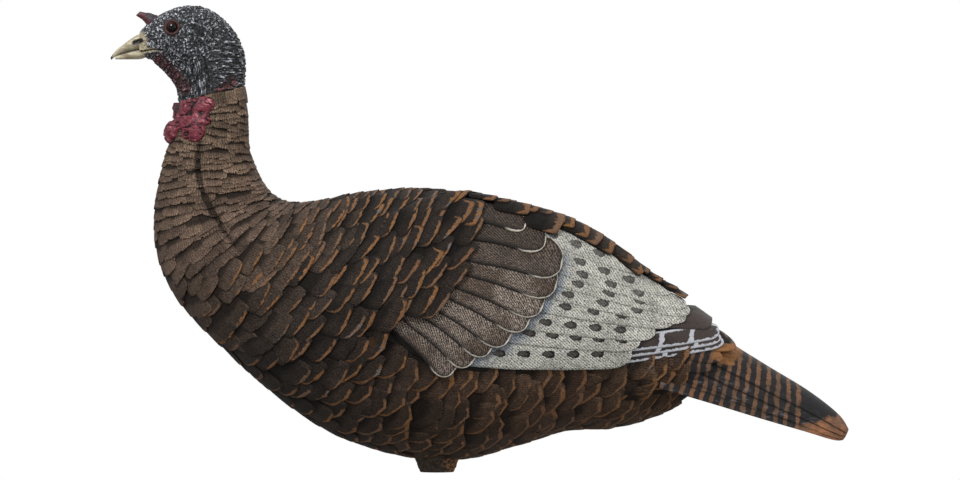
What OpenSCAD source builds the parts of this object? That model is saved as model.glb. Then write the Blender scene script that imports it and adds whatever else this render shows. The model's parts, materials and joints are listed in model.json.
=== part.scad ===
// Hen turkey decoy: hollow half shells on a swivelling stake socket, with a turning, pull-off head.
// Origin at the centre of the stake socket's mouth. +Z is up, the head points along -X, the tail along +X.

/* [Shell] */
// Wall of the moulded body shells
wall = 3; // [2.5:0.1:3.5]
// Wall of the soft head
head_wall = 3.5; // [3:0.1:4]

/* [Stake socket] */
// Radius of the socket that takes the ground stake
socket_r = 5; // [4:0.1:5.5]
// Depth of the socket
socket_len = 200; // [160:1:205]
// Radius of the swivel sleeve around the socket
sleeve_r = 8; // [7.8:0.1:8.5]
// Radial clearance of the turning fits
running = 0.08; // [0.04:0.01:0.1]

/* [Neck joint] */
// Forward lean of the neck's axis, in degrees
neck_tilt = 14; // [10:0.5:16]
// Half of the neck's depth at the joint
neck_depth = 36; // [35:0.5:37]
// Half of the neck's width at the joint
neck_width = 33; // [33:0.5:34]
// Gap between the neck's rim and the head's rim
neck_gap = 0.4; // [0.3:0.05:0.5]
// Radius of the spigot that plugs into the neck collar
spigot_r = 20; // [18:0.5:21]

/* [Wings and tail] */
// Thickness of the wing panels
wing_t = 6; // [4:0.5:7]
// Thickness of the tail fan
tail_t = 4; // [3:0.5:4.5]

/* [Face] */
// Radius of the eye balls
eye_r = 8.5; // [8:0.1:9]

/* [Hidden] */
$fn = 64;
// Facets of the O-ring's section
ring_fn = 32;
// How far cutting tools reach past what they cut
cut = 1;
// The gap between turning faces that are not a bearing, and between parts that only slip together
face_gap = 0.3;
slip = 0.1;

// Half-section resolution: steps along a loft between two stations, and steps round half a section
per_station = 2;
half_steps = 16;
ring_steps = 24;

// The neck joint: its centre on the centre plane, and the direction across the neck
neck_c = [-240, 402.5];
neck_across = [cos(neck_tilt), sin(neck_tilt)];
neck_up = [-sin(neck_tilt), cos(neck_tilt)];

// A loft station is [lower x, lower z, upper x, upper z, half width, egg]: the section's two points
// on the centre plane, its half width, and how much wider it is low down than high up.
function neck_station(lift, depth, width) =
    let (c = neck_c + neck_up * lift, a = neck_across * depth)
    [c[0] - a[0], c[1] - a[1], c[0] + a[0], c[1] + a[1], width, 0];

TRUNK = [
    neck_station(0, neck_depth, neck_width),
    [-279, 366, -203, 377, 34, 0],
    [-288, 338, -201, 344, 37, 0],
    [-296, 306, -191, 317, 43, 0.02],
    [-300, 272, -180, 299, 51, 0.04],
    [-298, 238, -166, 289, 61, 0.06],
    [-286, 202, -146, 286, 72, 0.08],
    [-262, 168, -120, 289, 83, 0.1],
    [-222, 129, -92, 295, 92, 0.12],
    [-175, 86, -60, 299, 99, 0.14],
    [-125, 51, -25, 301, 104, 0.14],
    [-75, 29, 15, 298, 106, 0.14],
    [-20, 17, 60, 289, 105, 0.12],
    [35, 17, 105, 278, 102, 0.1],
    [88, 31, 148, 263, 95, 0.08],
    [140, 46, 188, 239, 84, 0.06],
    [190, 49, 222, 210, 70, 0.04]
];
BODY = concat(TRUNK, [
    [232, 61, 250, 172, 47, 0.02],
    [262, 76, 275, 150, 32, 0],
    [278, 90, 288, 134, 17, 0]
]);
// The surface that the wings lie on: the trunk, then the tail fan's back
WING_BED = concat(TRUNK, [
    [228, 60, 258, 187, 63, 0.02],
    [258, 68, 282, 169, 58, 0],
    [284, 66, 304, 153, 52, 0],
    [306, 60, 326, 138, 46, 0]
]);
// Outline of a wing on that surface: [place along the loft, lower angle, upper angle]
WING = [
    [9.6, -88, -50],
    [10.4, -93, -36],
    [11.4, -104, -28],
    [12.6, -107, -27],
    [14, -106, -29],
    [15.4, -102, -32],
    [16.8, -90, -32],
    [18, -72, -31],
    [18.9, -52, -28],
    [19.3, -42, -34]
];
// Tail fan stations: [edge x, edge z, ridge x, ridge z, half width at the edge]
TAIL = [
    [236, 94, 244, 193, 62],
    [262, 86, 268, 172, 55],
    [300, 74, 306, 143, 48],
    [344, 60, 350, 115, 43],
    [390, 46, 396, 87, 38],
    [422, 36, 428, 62, 30],
    [434, 37, 439, 46, 17]
];
HEAD = [
    neck_station(neck_gap, neck_depth, neck_width),
    [-277, 408, -204, 428, 33, 0],
    [-283, 418, -206, 448, 32, 0],
    [-291, 427, -214, 467, 31.5, 0],
    [-297, 433, -229, 484, 31, 0],
    [-302, 437, -250, 496, 29, 0.02],
    [-306, 440, -274, 496, 26, 0.02],
    [-310, 442, -294, 488, 21, 0],
    [-314, 444, -307, 479, 15, 0],
    [-317, 446, -317, 469, 10, 0]
];
// The hollow of the head stops at this station
head_hollow = 6;
BEAK_UPPER = [
    [-317.5, 451, -317.5, 468, 9, -0.1],
    [-326, 450, -325, 463, 8, -0.1],
    [-336, 447, -335, 455.5, 5.5, -0.1],
    [-343, 443.5, -343, 449, 3.2, 0],
    [-348, 439.5, -348.5, 441.5, 1, 0]
];
BEAK_LOWER = [
    [-317.5, 440.5, -317.5, 450.4, 8, 0.1],
    [-326, 440, -326, 449.4, 6.5, 0.1],
    [-336, 440, -336, 446.4, 4.2, 0],
    [-343, 440, -343, 442.6, 1.6, 0]
];
SNOOD = [
    [-308, 474, -298, 486, 6, 0],
    [-312, 481, -305, 489, 4.5, 0],
    [-318, 487, -314, 491, 2.2, 0]
];
// Centre of the left eye
EYE = [-281, -18.5, 473];
// Fleshy lobes on the front of the neck: [place along the loft, height above the neck]
CARUNCLES = [
    [0.06, 1], [0.3, 3], [0.6, 3.5], [0.8, 2.5], [1, 7], [1.25, 11], [1.5, 8], [1.7, 1]
];
// The angles between which they wrap the neck, and how many lobes there are across
caruncle_from = 96;
caruncle_to = 264;
caruncle_lobes = 5;

// Stake swivel: the sleeve turns in the boss's bush and the top cup
flange_r = 11;
flange_t = 2.5;
washer_t = 1;
bush_from = flange_t + washer_t + 2 * face_gap / 3;
bush_len = 12;
bush_r = flange_r + face_gap;
clip_t = 1.2;
clip_from = bush_from + bush_len + face_gap;
clip_groove_r = sleeve_r - 1.3;
clip_r = bush_r - 1;
clip_opening = 4;
tube_r = 13;
tube_bore_r = 11;
tube_from = 22;
tip_h = 6;
tube_top = socket_len + tip_h + 2;
cup_depth = 16;
cup_floor = socket_len + tip_h + face_gap;
cup_t = 4;
boss_foot_r = 17.5;
boss_r = 24;
boss_shoulder = 15;
boss_flange_r = 32;
boss_flange_from = 29;
boss_top = 33;

// Neck joint stack, measured along the neck's axis from the neck's rim
collar_r = neck_width - wall - 2 * slip;
collar_top = 6;
collar_body_r = collar_r - 3.5;
collar_len = 25;
spigot_len = 23;
spigot_flange_r = 26;
spigot_flange_t = 2.8;
hub_r = neck_width - head_wall - 1.5;
hub_from = neck_gap + spigot_flange_t + neck_gap;
hub_len = 18;
pin_r = 8;
pin_top = hub_from + hub_len + neck_gap;
screw_r = 2.5;
screw_len = 18;
washer_r = 12;
head_screw_r = 5;
head_screw_t = 3;
o_ring_r = 1.6;
o_ring_at = -12;

// Tail root: a tongue clamped in a bracket between the shells
tongue_t = 6;
bracket_t = 5;
tail_bolt_r = 2;
tail_bolt_hole_r = tail_bolt_r + slip;
tail_nut_r = 4;
tail_nut_t = 3;
tail_bolt_end = 4;
tail_head_t = 2;
TAIL_BOLTS = [[236, 128], [252, 116]];
// The bracket: [from x, from z], [to x, to z]; its slot for the tongue starts one web thickness further back
BRACKET = [[214, 108], [260, 138]];
bracket_web = 8;
// Half of the slot between the bracket's cheeks, and how far out they reach
cheek = tongue_t / 2 + slip;
cheek_out = cheek + bracket_t;
// Side outline of the tail's keel: the tongue, then the stretch under the ridge, then back below
KEEL = [
    [226, 126], [232, 138], [262, 130], [292, 118], [292, 146], [306, 137], [350, 109], [396, 81],
    [412, 68], [404, 60], [380, 66], [330, 84], [292, 98], [256, 104], [240, 112]
];
// Pegs that hold the wings: [x, z, how far out they end]
WING_PEGS = [[40, 190, 100], [150, 172, 88]];
peg_r = 4;
peg_len = 16;
peg_hole_r = peg_r + slip;
// Gap under the wings, which stand on their pegs, and the thickness of their edges
wing_seat = 1.3;
wing_edge_t = 0.8;
nut_r = 9;
nut_t = 3;

// Catmull-Rom interpolation of four values
function blend4(a, b, c, d, t) =
    0.5 * (2 * b + (c - a) * t + (2 * a - 5 * b + 4 * c - d) * t * t + (3 * b - a - 3 * c + d) * t * t * t);

// The row of a table at a place u, counted in rows
function row_at(table, u) =
    let (last = len(table) - 1, i = min(floor(u), last - 1))
    blend4(table[max(i - 1, 0)], table[i], table[i + 1], table[min(i + 2, last)], u - i);

// A point of a lofted section: angle 0 is its upper point and 180 its lower one; inset moves it inwards
function section_point(s, v, inset) =
    let (
        middle = [(s[0] + s[2]) / 2, (s[1] + s[3]) / 2],
        half = [(s[2] - s[0]) / 2, (s[3] - s[1]) / 2],
        shrink = 1 - inset / norm(half)
    )
    [
        middle[0] + half[0] * shrink * cos(v),
        (s[4] - inset) * sin(v) * (1 - s[5] * cos(v)),
        middle[1] + half[1] * shrink * cos(v)
    ];

function skin(table, u, v, inset = 0) = section_point(row_at(table, u), v, inset);

// Outward unit normal of a loft, by small differences
function normal(table, u, v) =
    let (
        du = skin(table, min(u + 0.02, len(table) - 1), v) - skin(table, max(u - 0.02, 0), v),
        dv = skin(table, u, v + 0.5) - skin(table, u, v - 0.5),
        n = cross(du, dv)
    )
    n / norm(n);

// A point of the tail fan's arch; inset moves it inwards
function tail_point(u, v, inset = 0) =
    let (s = row_at(TAIL, u), rise = [s[2] - s[0], s[3] - s[1]], k = 1 - inset / norm(rise))
    [s[0] + rise[0] * k * cos(v), (s[4] - inset) * sin(v), s[1] + rise[1] * k * cos(v)];

function flat(rows) = [for (row = rows) for (p = row) p];

// Two triangles for the quad a, b, c, d
function quad(a, b, c, d) = [[a, b, c], [a, c, d]];

// A closed slab between two grids of points of the same size
module slab(outer, inner) {
    m = len(outer);
    n = len(outer[0]);
    back = m * n;
    sheets = [for (i = [0:m - 2]) for (j = [0:n - 2]) let (a = i * n + j) each concat(
        quad(a, a + 1, a + n + 1, a + n),
        quad(back + a, back + a + n, back + a + n + 1, back + a + 1)
    )];
    sides = [for (i = [0:m - 2]) let (a = i * n, b = a + n - 1) each concat(
        quad(a, a + n, back + a + n, back + a),
        quad(b + n, b, back + b, back + b + n)
    )];
    ends = [for (j = [0:n - 2]) let (a = j, b = (m - 1) * n + j) each concat(
        quad(a + 1, a, back + a, back + a + 1),
        quad(b, b + 1, back + b + 1, back + b)
    )];
    polyhedron(concat(flat(outer), flat(inner)), concat(sheets, sides, ends), convexity = 6);
}

// Faces of the tube through rings of n points, counted from index `from`
function tube_faces(from, rings, n, inwards) =
    [for (i = [0:rings - 2]) for (j = [0:n - 1])
        let (a = from + i * n + j, b = from + i * n + (j + 1) % n)
        each (inwards ? quad(a, b, b + n, a + n) : quad(a, a + n, b + n, b))];

function cap(from, n, turned) = [[for (j = [0:n - 1]) from + (turned ? n - 1 - j : j)]];

function rings(table, us, inset = 0) =
    [for (u = us) [for (j = [0:ring_steps - 1]) skin(table, u, j * 360 / ring_steps, inset)]];

// A solid loft through a table of stations
module loft(table) {
    rows = rings(table, [for (i = [0:per_station * (len(table) - 1)]) i / per_station]);
    n = ring_steps;
    polyhedron(
        flat(rows),
        concat(tube_faces(0, len(rows), n, true), cap(0, n, true), cap((len(rows) - 1) * n, n, false)),
        convexity = 4
    );
}

// A loft that is hollow from its first station up to another one
module hollow_loft(table, thickness, to) {
    outer = rings(table, [for (i = [0:per_station * (len(table) - 1)]) i / per_station]);
    inner = rings(table, [for (i = [0:per_station * to]) i / per_station], thickness);
    n = ring_steps;
    start = len(outer) * n;
    rim = [for (j = [0:n - 1]) let (k = (j + 1) % n) each quad(j, start + j, start + k, k)];
    polyhedron(
        concat(flat(outer), flat(inner)),
        concat(
            tube_faces(0, len(outer), n, true), cap((len(outer) - 1) * n, n, false),
            tube_faces(start, len(inner), n, false), cap(start + (len(inner) - 1) * n, n, true),
            rim
        ),
        convexity = 6
    );
}

// Puts its children on the neck's axis, with z = 0 at the neck's rim
module on_neck() {
    translate([neck_c[0], 0, neck_c[1]])
        rotate([0, -neck_tilt, 0])
            children();
}

// A plain ring or bush
module ring(outer_r, inner_r, from, to) {
    translate([0, 0, from])
        difference() {
            cylinder(r = outer_r, h = to - from);
            translate([0, 0, -cut])
                cylinder(r = inner_r, h = to - from + 2 * cut);
        }
}

// A round bar along Y at the side view's point p, between two distances out to the left
module left_bar(p, r, from, to) {
    translate([p[0], -from, p[1]])
        rotate([90, 0, 0])
            cylinder(r = r, h = to - from);
}

module swivel_sleeve() {
    color("silver")
        rotate_extrude()
            polygon([
                [socket_r, 0], [flange_r, 0], [flange_r, flange_t], [sleeve_r, flange_t],
                [sleeve_r, clip_from], [clip_groove_r, clip_from],
                [clip_groove_r, clip_from + clip_t], [sleeve_r, clip_from + clip_t],
                [sleeve_r, socket_len + tip_h / 2], [sleeve_r / 2, socket_len + tip_h],
                [0, socket_len + tip_h], [0, socket_len], [socket_r, socket_len]
            ]);
}

// An open retaining ring in the sleeve's groove, above the bush
module swivel_clip() {
    color("gray")
        difference() {
            ring(clip_r, clip_groove_r, clip_from, clip_from + clip_t);
            translate([0, -clip_opening / 2, clip_from - cut])
                cube([clip_r + cut, clip_opening, clip_t + 2 * cut]);
        }
}

module shell_half() {
    us = [for (i = [0:per_station * (len(BODY) - 1)]) i / per_station];
    vs = [for (j = [0:half_steps]) -180 + j * 180 / half_steps];
    difference() {
        slab(
            [for (u = us) [for (v = vs) skin(BODY, u, v)]],
            [for (u = us) [for (v = vs) skin(BODY, u, v, wall)]]
        );
        cylinder(r = boss_r + slip, h = boss_flange_from);
        for (p = WING_PEGS)
            left_bar(p, peg_hole_r, p[2] - 2 * peg_len, p[2] + 2 * peg_len);
    }
}

module body_shell_left() {
    color([0.27, 0.22, 0.18])
        shell_half();
}

module body_shell_right() {
    color([0.24, 0.2, 0.17])
        mirror([0, 1, 0])
            shell_half();
}

// Height of the wing's outer face above its bed: full in the middle, thin and bluntly rounded at the edges
function wing_lift(t) =
    wing_seat + wing_edge_t + (wing_t - wing_seat - wing_edge_t) * pow(sin(180 * t), 0.35);

module wing_panel() {
    across = 8;
    rows = [for (i = [0:per_station * (len(WING) - 1)]) row_at(WING, i / per_station)];
    function bed(r, j, lift) =
        let (v = r[1] + (r[2] - r[1]) * j / across)
        skin(WING_BED, r[0], v) + normal(WING_BED, r[0], v) * lift;
    slab(
        [for (r = rows) [for (j = [0:across]) bed(r, j, wing_lift(j / across))]],
        [for (r = rows) [for (j = [0:across]) bed(r, j, wing_seat)]]
    );
}

module wing_half() {
    union() {
        wing_panel();
        for (p = WING_PEGS)
            left_bar(p, peg_r, p[2] - peg_len, p[2]);
    }
}

module wing_left() {
    color([0.5, 0.47, 0.43])
        wing_half();
}

module wing_right() {
    color([0.47, 0.44, 0.4])
        mirror([0, 1, 0])
            wing_half();
}

// Push-on nuts on the wings' pegs, inside the shells
module wing_push_nuts() {
    color("dimgray")
        for (side = [0, 1])
            mirror([0, side, 0])
                for (p = WING_PEGS)
                    let (from = p[2] - peg_len + 1)
                        difference() {
                            left_bar(p, nut_r, from, from + nut_t);
                            left_bar(p, peg_r, from - cut, from + nut_t + cut);
                        }
}

module tail_arch() {
    us = [for (i = [0:per_station * (len(TAIL) - 1)]) i / per_station];
    vs = [for (j = [0:half_steps]) -92 + j * 184 / half_steps];
    slab(
        [for (u = us) [for (v = vs) tail_point(u, v)]],
        [for (u = us) [for (v = vs) tail_point(u, v, tail_t)]]
    );
}

module tail_fan() {
    color([0.24, 0.21, 0.19])
        tail_arch();
}

// The upright keel under the tail's ridge, with the tongue that goes into the body
module tail_keel() {
    color([0.2, 0.17, 0.15])
        difference() {
            translate([0, tongue_t / 2, 0])
                rotate([90, 0, 0])
                    linear_extrude(tongue_t)
                        polygon(KEEL);
            for (p = TAIL_BOLTS)
                left_bar(p, tail_bolt_hole_r, -tongue_t, tongue_t);
        }
}

// Two cheeks that clamp the tongue, joined in front of it
module tail_bracket() {
    size = BRACKET[1] - BRACKET[0];
    color("black")
        difference() {
            translate([BRACKET[0][0], -cheek_out, BRACKET[0][1]])
                cube([size[0], 2 * cheek_out, size[1]]);
            translate([BRACKET[0][0] + bracket_web, -cheek, BRACKET[0][1] - cut])
                cube([size[0], 2 * cheek, size[1] + 2 * cut]);
            for (p = TAIL_BOLTS)
                left_bar(p, tail_bolt_hole_r, -2 * cheek_out, 2 * cheek_out);
        }
}

module tail_bolts() {
    color("silver")
        for (p = TAIL_BOLTS) {
            left_bar(p, tail_bolt_r, -cheek_out - tail_bolt_end, cheek_out);
            left_bar(p, 2 * tail_bolt_r, cheek_out, cheek_out + tail_head_t);
        }
}

module tail_nuts() {
    color("gray")
        for (p = TAIL_BOLTS)
            translate([p[0], cheek_out, p[1]])
                rotate([-90, 0, 0])
                    difference() {
                        cylinder(r = tail_nut_r, h = tail_nut_t, $fn = 6);
                        translate([0, 0, -cut])
                            cylinder(r = tail_bolt_r, h = tail_nut_t + 2 * cut);
                    }
}

// The block under the belly that holds the lower bush and the tube
module stake_boss() {
    color([0.23, 0.19, 0.16])
        rotate_extrude()
            polygon([
                [bush_r + face_gap, 0], [boss_foot_r, 0], [boss_r, boss_shoulder],
                [boss_r, boss_flange_from], [boss_flange_r, boss_flange_from], [boss_flange_r, boss_top],
                [tube_r, boss_top], [tube_r, tube_from], [bush_r, tube_from],
                [bush_r, bush_from], [bush_r + face_gap, bush_from]
            ]);
}

module stake_tube() {
    color("dimgray")
        ring(tube_r, tube_bore_r, tube_from, tube_top);
}

module lower_bush() {
    color("white")
        ring(bush_r, sleeve_r + running, bush_from, bush_from + bush_len);
}

module thrust_washer() {
    color("gold")
        ring(flange_r, sleeve_r + face_gap, bush_from - washer_t, bush_from);
}

// Closes the tube and guides the sleeve's upper end
module top_cup() {
    color("white")
        rotate_extrude()
            polygon([
                [sleeve_r + running, cup_floor - cup_depth], [tube_bore_r, cup_floor - cup_depth],
                [tube_bore_r, tube_top], [tube_r, tube_top], [tube_r, tube_top + cup_t],
                [0, tube_top + cup_t], [0, cup_floor], [sleeve_r + running, cup_floor]
            ]);
}

// Fills the neck's rim at its top, and is slimmer below, where the neck bends away from its axis
module neck_collar() {
    color("black")
        on_neck()
            rotate_extrude()
                polygon([
                    [spigot_r, -collar_len], [collar_body_r, -collar_len], [collar_body_r, -collar_top],
                    [collar_r, -collar_top], [collar_r, 0], [spigot_r, 0]
                ]);
}

// Lobed skin on the front of the neck
module neck_caruncles() {
    across = 40;
    function lobe(height, t) =
        face_gap + height * sqrt(sin(180 * t)) * (0.75 - 0.25 * cos(360 * caruncle_lobes * t));
    function spot(u, t, lift) =
        let (v = caruncle_from + (caruncle_to - caruncle_from) * t)
        skin(BODY, u, v) + normal(BODY, u, v) * lift;
    rows = [for (i = [0:2 * (len(CARUNCLES) - 1)]) row_at(CARUNCLES, i / 2)];
    color([0.4, 0.22, 0.24])
        slab(
            [for (r = rows)
                [for (j = [0:across]) spot(r[0], j / across, lobe(r[1], j / across) + face_gap)]],
            [for (r = rows) [for (j = [0:across]) spot(r[0], j / across, face_gap)]]
        );
}

// Plugs into the collar, and carries the pin that the head turns on
module head_spigot() {
    color("dimgray")
        on_neck()
            rotate_extrude()
                polygon([
                    [0, -spigot_len], [spigot_r - running, -spigot_len],
                    [spigot_r - running, o_ring_at - o_ring_r],
                    [spigot_r - 2 * o_ring_r, o_ring_at - o_ring_r],
                    [spigot_r - 2 * o_ring_r, o_ring_at + o_ring_r],
                    [spigot_r - running, o_ring_at + o_ring_r],
                    [spigot_r - running, neck_gap], [spigot_flange_r, neck_gap],
                    [spigot_flange_r, neck_gap + spigot_flange_t], [pin_r, neck_gap + spigot_flange_t],
                    [pin_r, pin_top], [screw_r, pin_top],
                    [screw_r, pin_top - screw_len], [0, pin_top - screw_len]
                ]);
}

module spigot_o_ring() {
    color("black")
        on_neck()
            translate([0, 0, o_ring_at])
                rotate_extrude()
                    translate([spigot_r - o_ring_r - running / 2, 0])
                        circle(r = o_ring_r - running, $fn = ring_fn);
}

module head_washer() {
    color("silver")
        on_neck()
            ring(washer_r, screw_r + 2 * slip, pin_top, pin_top + washer_t);
}

module head_screw() {
    color("silver")
        on_neck() {
            translate([0, 0, pin_top - screw_len + washer_t])
                cylinder(r = screw_r, h = screw_len);
            translate([0, 0, pin_top + washer_t])
                cylinder(r = head_screw_r, h = head_screw_t);
        }
}

module head_skin() {
    color([0.28, 0.29, 0.31])
        hollow_loft(HEAD, head_wall, head_hollow);
}

// The hub inside the head that turns on the spigot's pin
module head_hub() {
    color("black")
        on_neck()
            ring(hub_r, pin_r + running, hub_from, hub_from + hub_len);
}

module beak_upper() {
    color([0.6, 0.56, 0.49])
        loft(BEAK_UPPER);
}

module beak_lower() {
    color([0.55, 0.5, 0.43])
        loft(BEAK_LOWER);
}

module eye() {
    translate(EYE)
        sphere(r = eye_r);
}

module eye_left() {
    color("black")
        eye();
}

module eye_right() {
    color("black")
        mirror([0, 1, 0])
            eye();
}

module snood() {
    color([0.36, 0.25, 0.26])
        loft(SNOOD);
}

swivel_sleeve();
swivel_clip();
body_shell_left();
body_shell_right();
wing_left();
wing_right();
wing_push_nuts();
tail_fan();
tail_keel();
tail_bracket();
tail_bolts();
tail_nuts();
stake_boss();
stake_tube();
lower_bush();
thrust_washer();
top_cup();
neck_collar();
neck_caruncles();
head_spigot();
spigot_o_ring();
head_washer();
head_screw();
head_skin();
head_hub();
beak_upper();
beak_lower();
eye_left();
eye_right();
snood();
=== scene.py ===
"""Looks of the hen turkey decoy: moulded feathers, wings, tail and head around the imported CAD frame.

Lengths in the tables and functions are millimetres in the frame's axes.
They become metres where a mesh is made.
"""
import json
import math

import bmesh
import bpy
import numpy as np
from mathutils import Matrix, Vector


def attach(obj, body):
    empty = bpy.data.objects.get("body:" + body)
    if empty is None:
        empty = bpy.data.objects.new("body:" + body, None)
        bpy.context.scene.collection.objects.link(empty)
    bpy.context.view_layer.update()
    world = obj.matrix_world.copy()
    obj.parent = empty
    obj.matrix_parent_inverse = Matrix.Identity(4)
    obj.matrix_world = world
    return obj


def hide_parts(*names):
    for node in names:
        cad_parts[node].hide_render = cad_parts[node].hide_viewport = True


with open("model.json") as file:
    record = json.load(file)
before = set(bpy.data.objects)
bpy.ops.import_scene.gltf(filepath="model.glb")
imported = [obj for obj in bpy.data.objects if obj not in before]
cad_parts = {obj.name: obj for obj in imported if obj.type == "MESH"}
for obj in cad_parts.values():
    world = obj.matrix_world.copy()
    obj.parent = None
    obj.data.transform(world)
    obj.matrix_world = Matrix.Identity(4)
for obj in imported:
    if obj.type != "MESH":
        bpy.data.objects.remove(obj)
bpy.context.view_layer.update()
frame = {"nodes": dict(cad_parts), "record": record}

MM = 0.001
SIDES = (("left", -1), ("right", 1))  # the sign is that of y

# --- The lofts, as the CAD has them: [lower x, lower z, upper x, upper z, half width, egg] ---

NECK_TILT = math.radians(14)
NECK_CENTRE = np.array([-240, 402.5])
NECK_ACROSS = np.array([math.cos(NECK_TILT), math.sin(NECK_TILT)])
NECK_UP = np.array([-math.sin(NECK_TILT), math.cos(NECK_TILT)])
NECK_DEPTH = 36
NECK_WIDTH = 33
NECK_GAP = 0.4


def neck_station(lift):
    """The neck's section at the joint, lifted along the neck's axis."""
    middle = NECK_CENTRE + NECK_UP * lift
    low = middle - NECK_ACROSS * NECK_DEPTH
    high = middle + NECK_ACROSS * NECK_DEPTH
    return [*low, *high, NECK_WIDTH, 0]


TRUNK = [
    neck_station(0),
    [-279, 366, -203, 377, 34, 0],
    [-288, 338, -201, 344, 37, 0],
    [-296, 306, -191, 317, 43, 0.02],
    [-300, 272, -180, 299, 51, 0.04],
    [-298, 238, -166, 289, 61, 0.06],
    [-286, 202, -146, 286, 72, 0.08],
    [-262, 168, -120, 289, 83, 0.1],
    [-222, 129, -92, 295, 92, 0.12],
    [-175, 86, -60, 299, 99, 0.14],
    [-125, 51, -25, 301, 104, 0.14],
    [-75, 29, 15, 298, 106, 0.14],
    [-20, 17, 60, 289, 105, 0.12],
    [35, 17, 105, 278, 102, 0.1],
    [88, 31, 148, 263, 95, 0.08],
    [140, 46, 188, 239, 84, 0.06],
    [190, 49, 222, 210, 70, 0.04],
]
BODY = np.array(TRUNK + [
    [232, 61, 250, 172, 47, 0.02],
    [262, 76, 275, 150, 32, 0],
    [278, 90, 288, 134, 17, 0],
])
WING_BED = np.array(TRUNK + [
    [228, 60, 258, 187, 63, 0.02],
    [258, 68, 282, 169, 58, 0],
    [284, 66, 304, 153, 52, 0],
    [306, 60, 326, 138, 46, 0],
])
# Outline of a wing on its bed: [place along the loft, lower angle, upper angle]
WING = np.array([
    [9.6, -88, -50], [10.4, -93, -36], [11.4, -104, -28], [12.6, -107, -27], [14, -106, -29],
    [15.4, -102, -32], [16.8, -90, -32], [18, -72, -31], [18.9, -52, -28], [19.3, -42, -34],
])
# Tail fan: [edge x, edge z, ridge x, ridge z, half width at the edge]. TAIL has the same as loft stations,
# whose lower points are the ridge's, mirrored in the edge
TAIL_EDGE_RIDGE = np.array([
    [236, 94, 244, 193, 62],
    [262, 86, 268, 172, 55],
    [300, 74, 306, 143, 48],
    [344, 60, 350, 115, 43],
    [390, 46, 396, 87, 38],
    [422, 36, 428, 62, 30],
    [434, 37, 439, 46, 17],
])
TAIL = np.column_stack([
    2 * TAIL_EDGE_RIDGE[:, :2] - TAIL_EDGE_RIDGE[:, 2:4],
    TAIL_EDGE_RIDGE[:, 2:4],
    TAIL_EDGE_RIDGE[:, 4],
    np.zeros(len(TAIL_EDGE_RIDGE)),
])
HEAD = np.array([
    neck_station(NECK_GAP),
    [-277, 408, -204, 428, 33, 0],
    [-283, 418, -206, 448, 32, 0],
    [-291, 427, -214, 467, 31.5, 0],
    [-297, 433, -229, 484, 31, 0],
    [-302, 437, -250, 496, 29, 0.02],
    [-306, 440, -274, 496, 26, 0.02],
    [-310, 442, -294, 488, 21, 0],
    [-314, 444, -307, 479, 15, 0],
    [-317, 446, -317, 469, 10, 0],
])
HEAD_HOLLOW = 6
HEAD_WALL = 3.5
BEAK_UPPER = np.array([
    [-315, 449.8, -315, 468.5, 9, -0.1],
    [-326, 449.2, -325, 463, 8, -0.1],
    [-336, 446.4, -335, 455.5, 5.5, -0.1],
    [-343, 442.8, -343, 449, 3.2, 0],
    [-347.5, 439.5, -348.3, 442, 1, 0],
])
BEAK_LOWER = np.array([
    [-307, 444, -307, 450.5, 5.5, 0.1],
    [-315, 440.5, -315, 451.4, 7.6, 0.1],
    [-326, 440, -326, 450.2, 6.2, 0.1],
    [-336, 440, -336, 447.4, 4, 0],
    [-343, 440, -343, 443.6, 1.6, 0],
])
SNOOD = np.array([
    [-307, 472, -296, 486, 6, 0],
    [-312, 480, -304.5, 489, 4.3, 0],
    [-318.5, 485, -313, 490.5, 3.4, 0],
    [-321, 487, -317, 491, 2.4, 0],
])
# Where the flesh starts and ends on the front of the neck: [place along the trunk], and angles round it
CARUNCLE_SPAN = (0.05, 1.72)
CARUNCLE_ARC = (76, 284)
# Its lobes on the left side: [x, z, radius, height]
CARUNCLE_LOBES = [
    [-258, 365, 14, 7.5], [-279, 362, 13, 11], [-250, 376, 10, 4.5], [-270, 374, 12, 5.5],
    [-263, 389, 13, 5], [-249, 389, 11, 4.5], [-277, 386, 12, 5], [-242, 392, 8, 3.5],
]


def row_at(table, u):
    """The row of a table at places u, counted in rows, by Catmull-Rom interpolation."""
    last = len(table) - 1
    u = np.asarray(u, float)
    i = np.clip(np.floor(u).astype(int), 0, last - 1)
    t = (u - i)[..., None]
    a, b = table[np.maximum(i - 1, 0)], table[i]
    c, d = table[i + 1], table[np.minimum(i + 2, last)]
    first, second, third = c - a, 2 * a - 5 * b + 4 * c - d, 3 * b - a - 3 * c + d
    return 0.5 * (2 * b + first * t + second * t ** 2 + third * t ** 3)


def skin(table, u, v):
    """Points of a loft. v is 0 degrees at a section's upper point, 180 at its lower, negative on the left."""
    s = row_at(table, u)
    c, sn = np.cos(np.radians(v)), np.sin(np.radians(v))
    middle = (s[..., 0:2] + s[..., 2:4]) / 2
    half = (s[..., 2:4] - s[..., 0:2]) / 2
    x = middle[..., 0] + half[..., 0] * c
    z = middle[..., 1] + half[..., 1] * c
    y = s[..., 4] * sn * (1 - s[..., 5] * c)
    return np.stack([x, y, z], -1)


def on_side(points, sign):
    """Points of the left side, carried over to the side of that sign."""
    return points * np.array([1, -sign, 1])


def unit(a):
    """Vectors scaled to length 1."""
    return a / np.maximum(np.linalg.norm(a, axis=-1, keepdims=True), 1e-9)


def slopes(table, u, v):
    """The loft's change per unit of u and per degree of v, and its outward unit normal."""
    step = 0.02
    low, high = np.clip(u - step, 0, None), np.clip(u + step, None, len(table) - 1)
    along = (skin(table, high, v) - skin(table, low, v)) / (high - low)[..., None]
    around = skin(table, u, v + 0.5) - skin(table, u, v - 0.5)
    out = unit(np.cross(along, around))
    middle = (skin(table, u, 0.0) + skin(table, u, 180.0)) / 2
    inwards = np.sum(out * (skin(table, u, v) - middle)) < 0
    return along, around, -out if inwards else out


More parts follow.
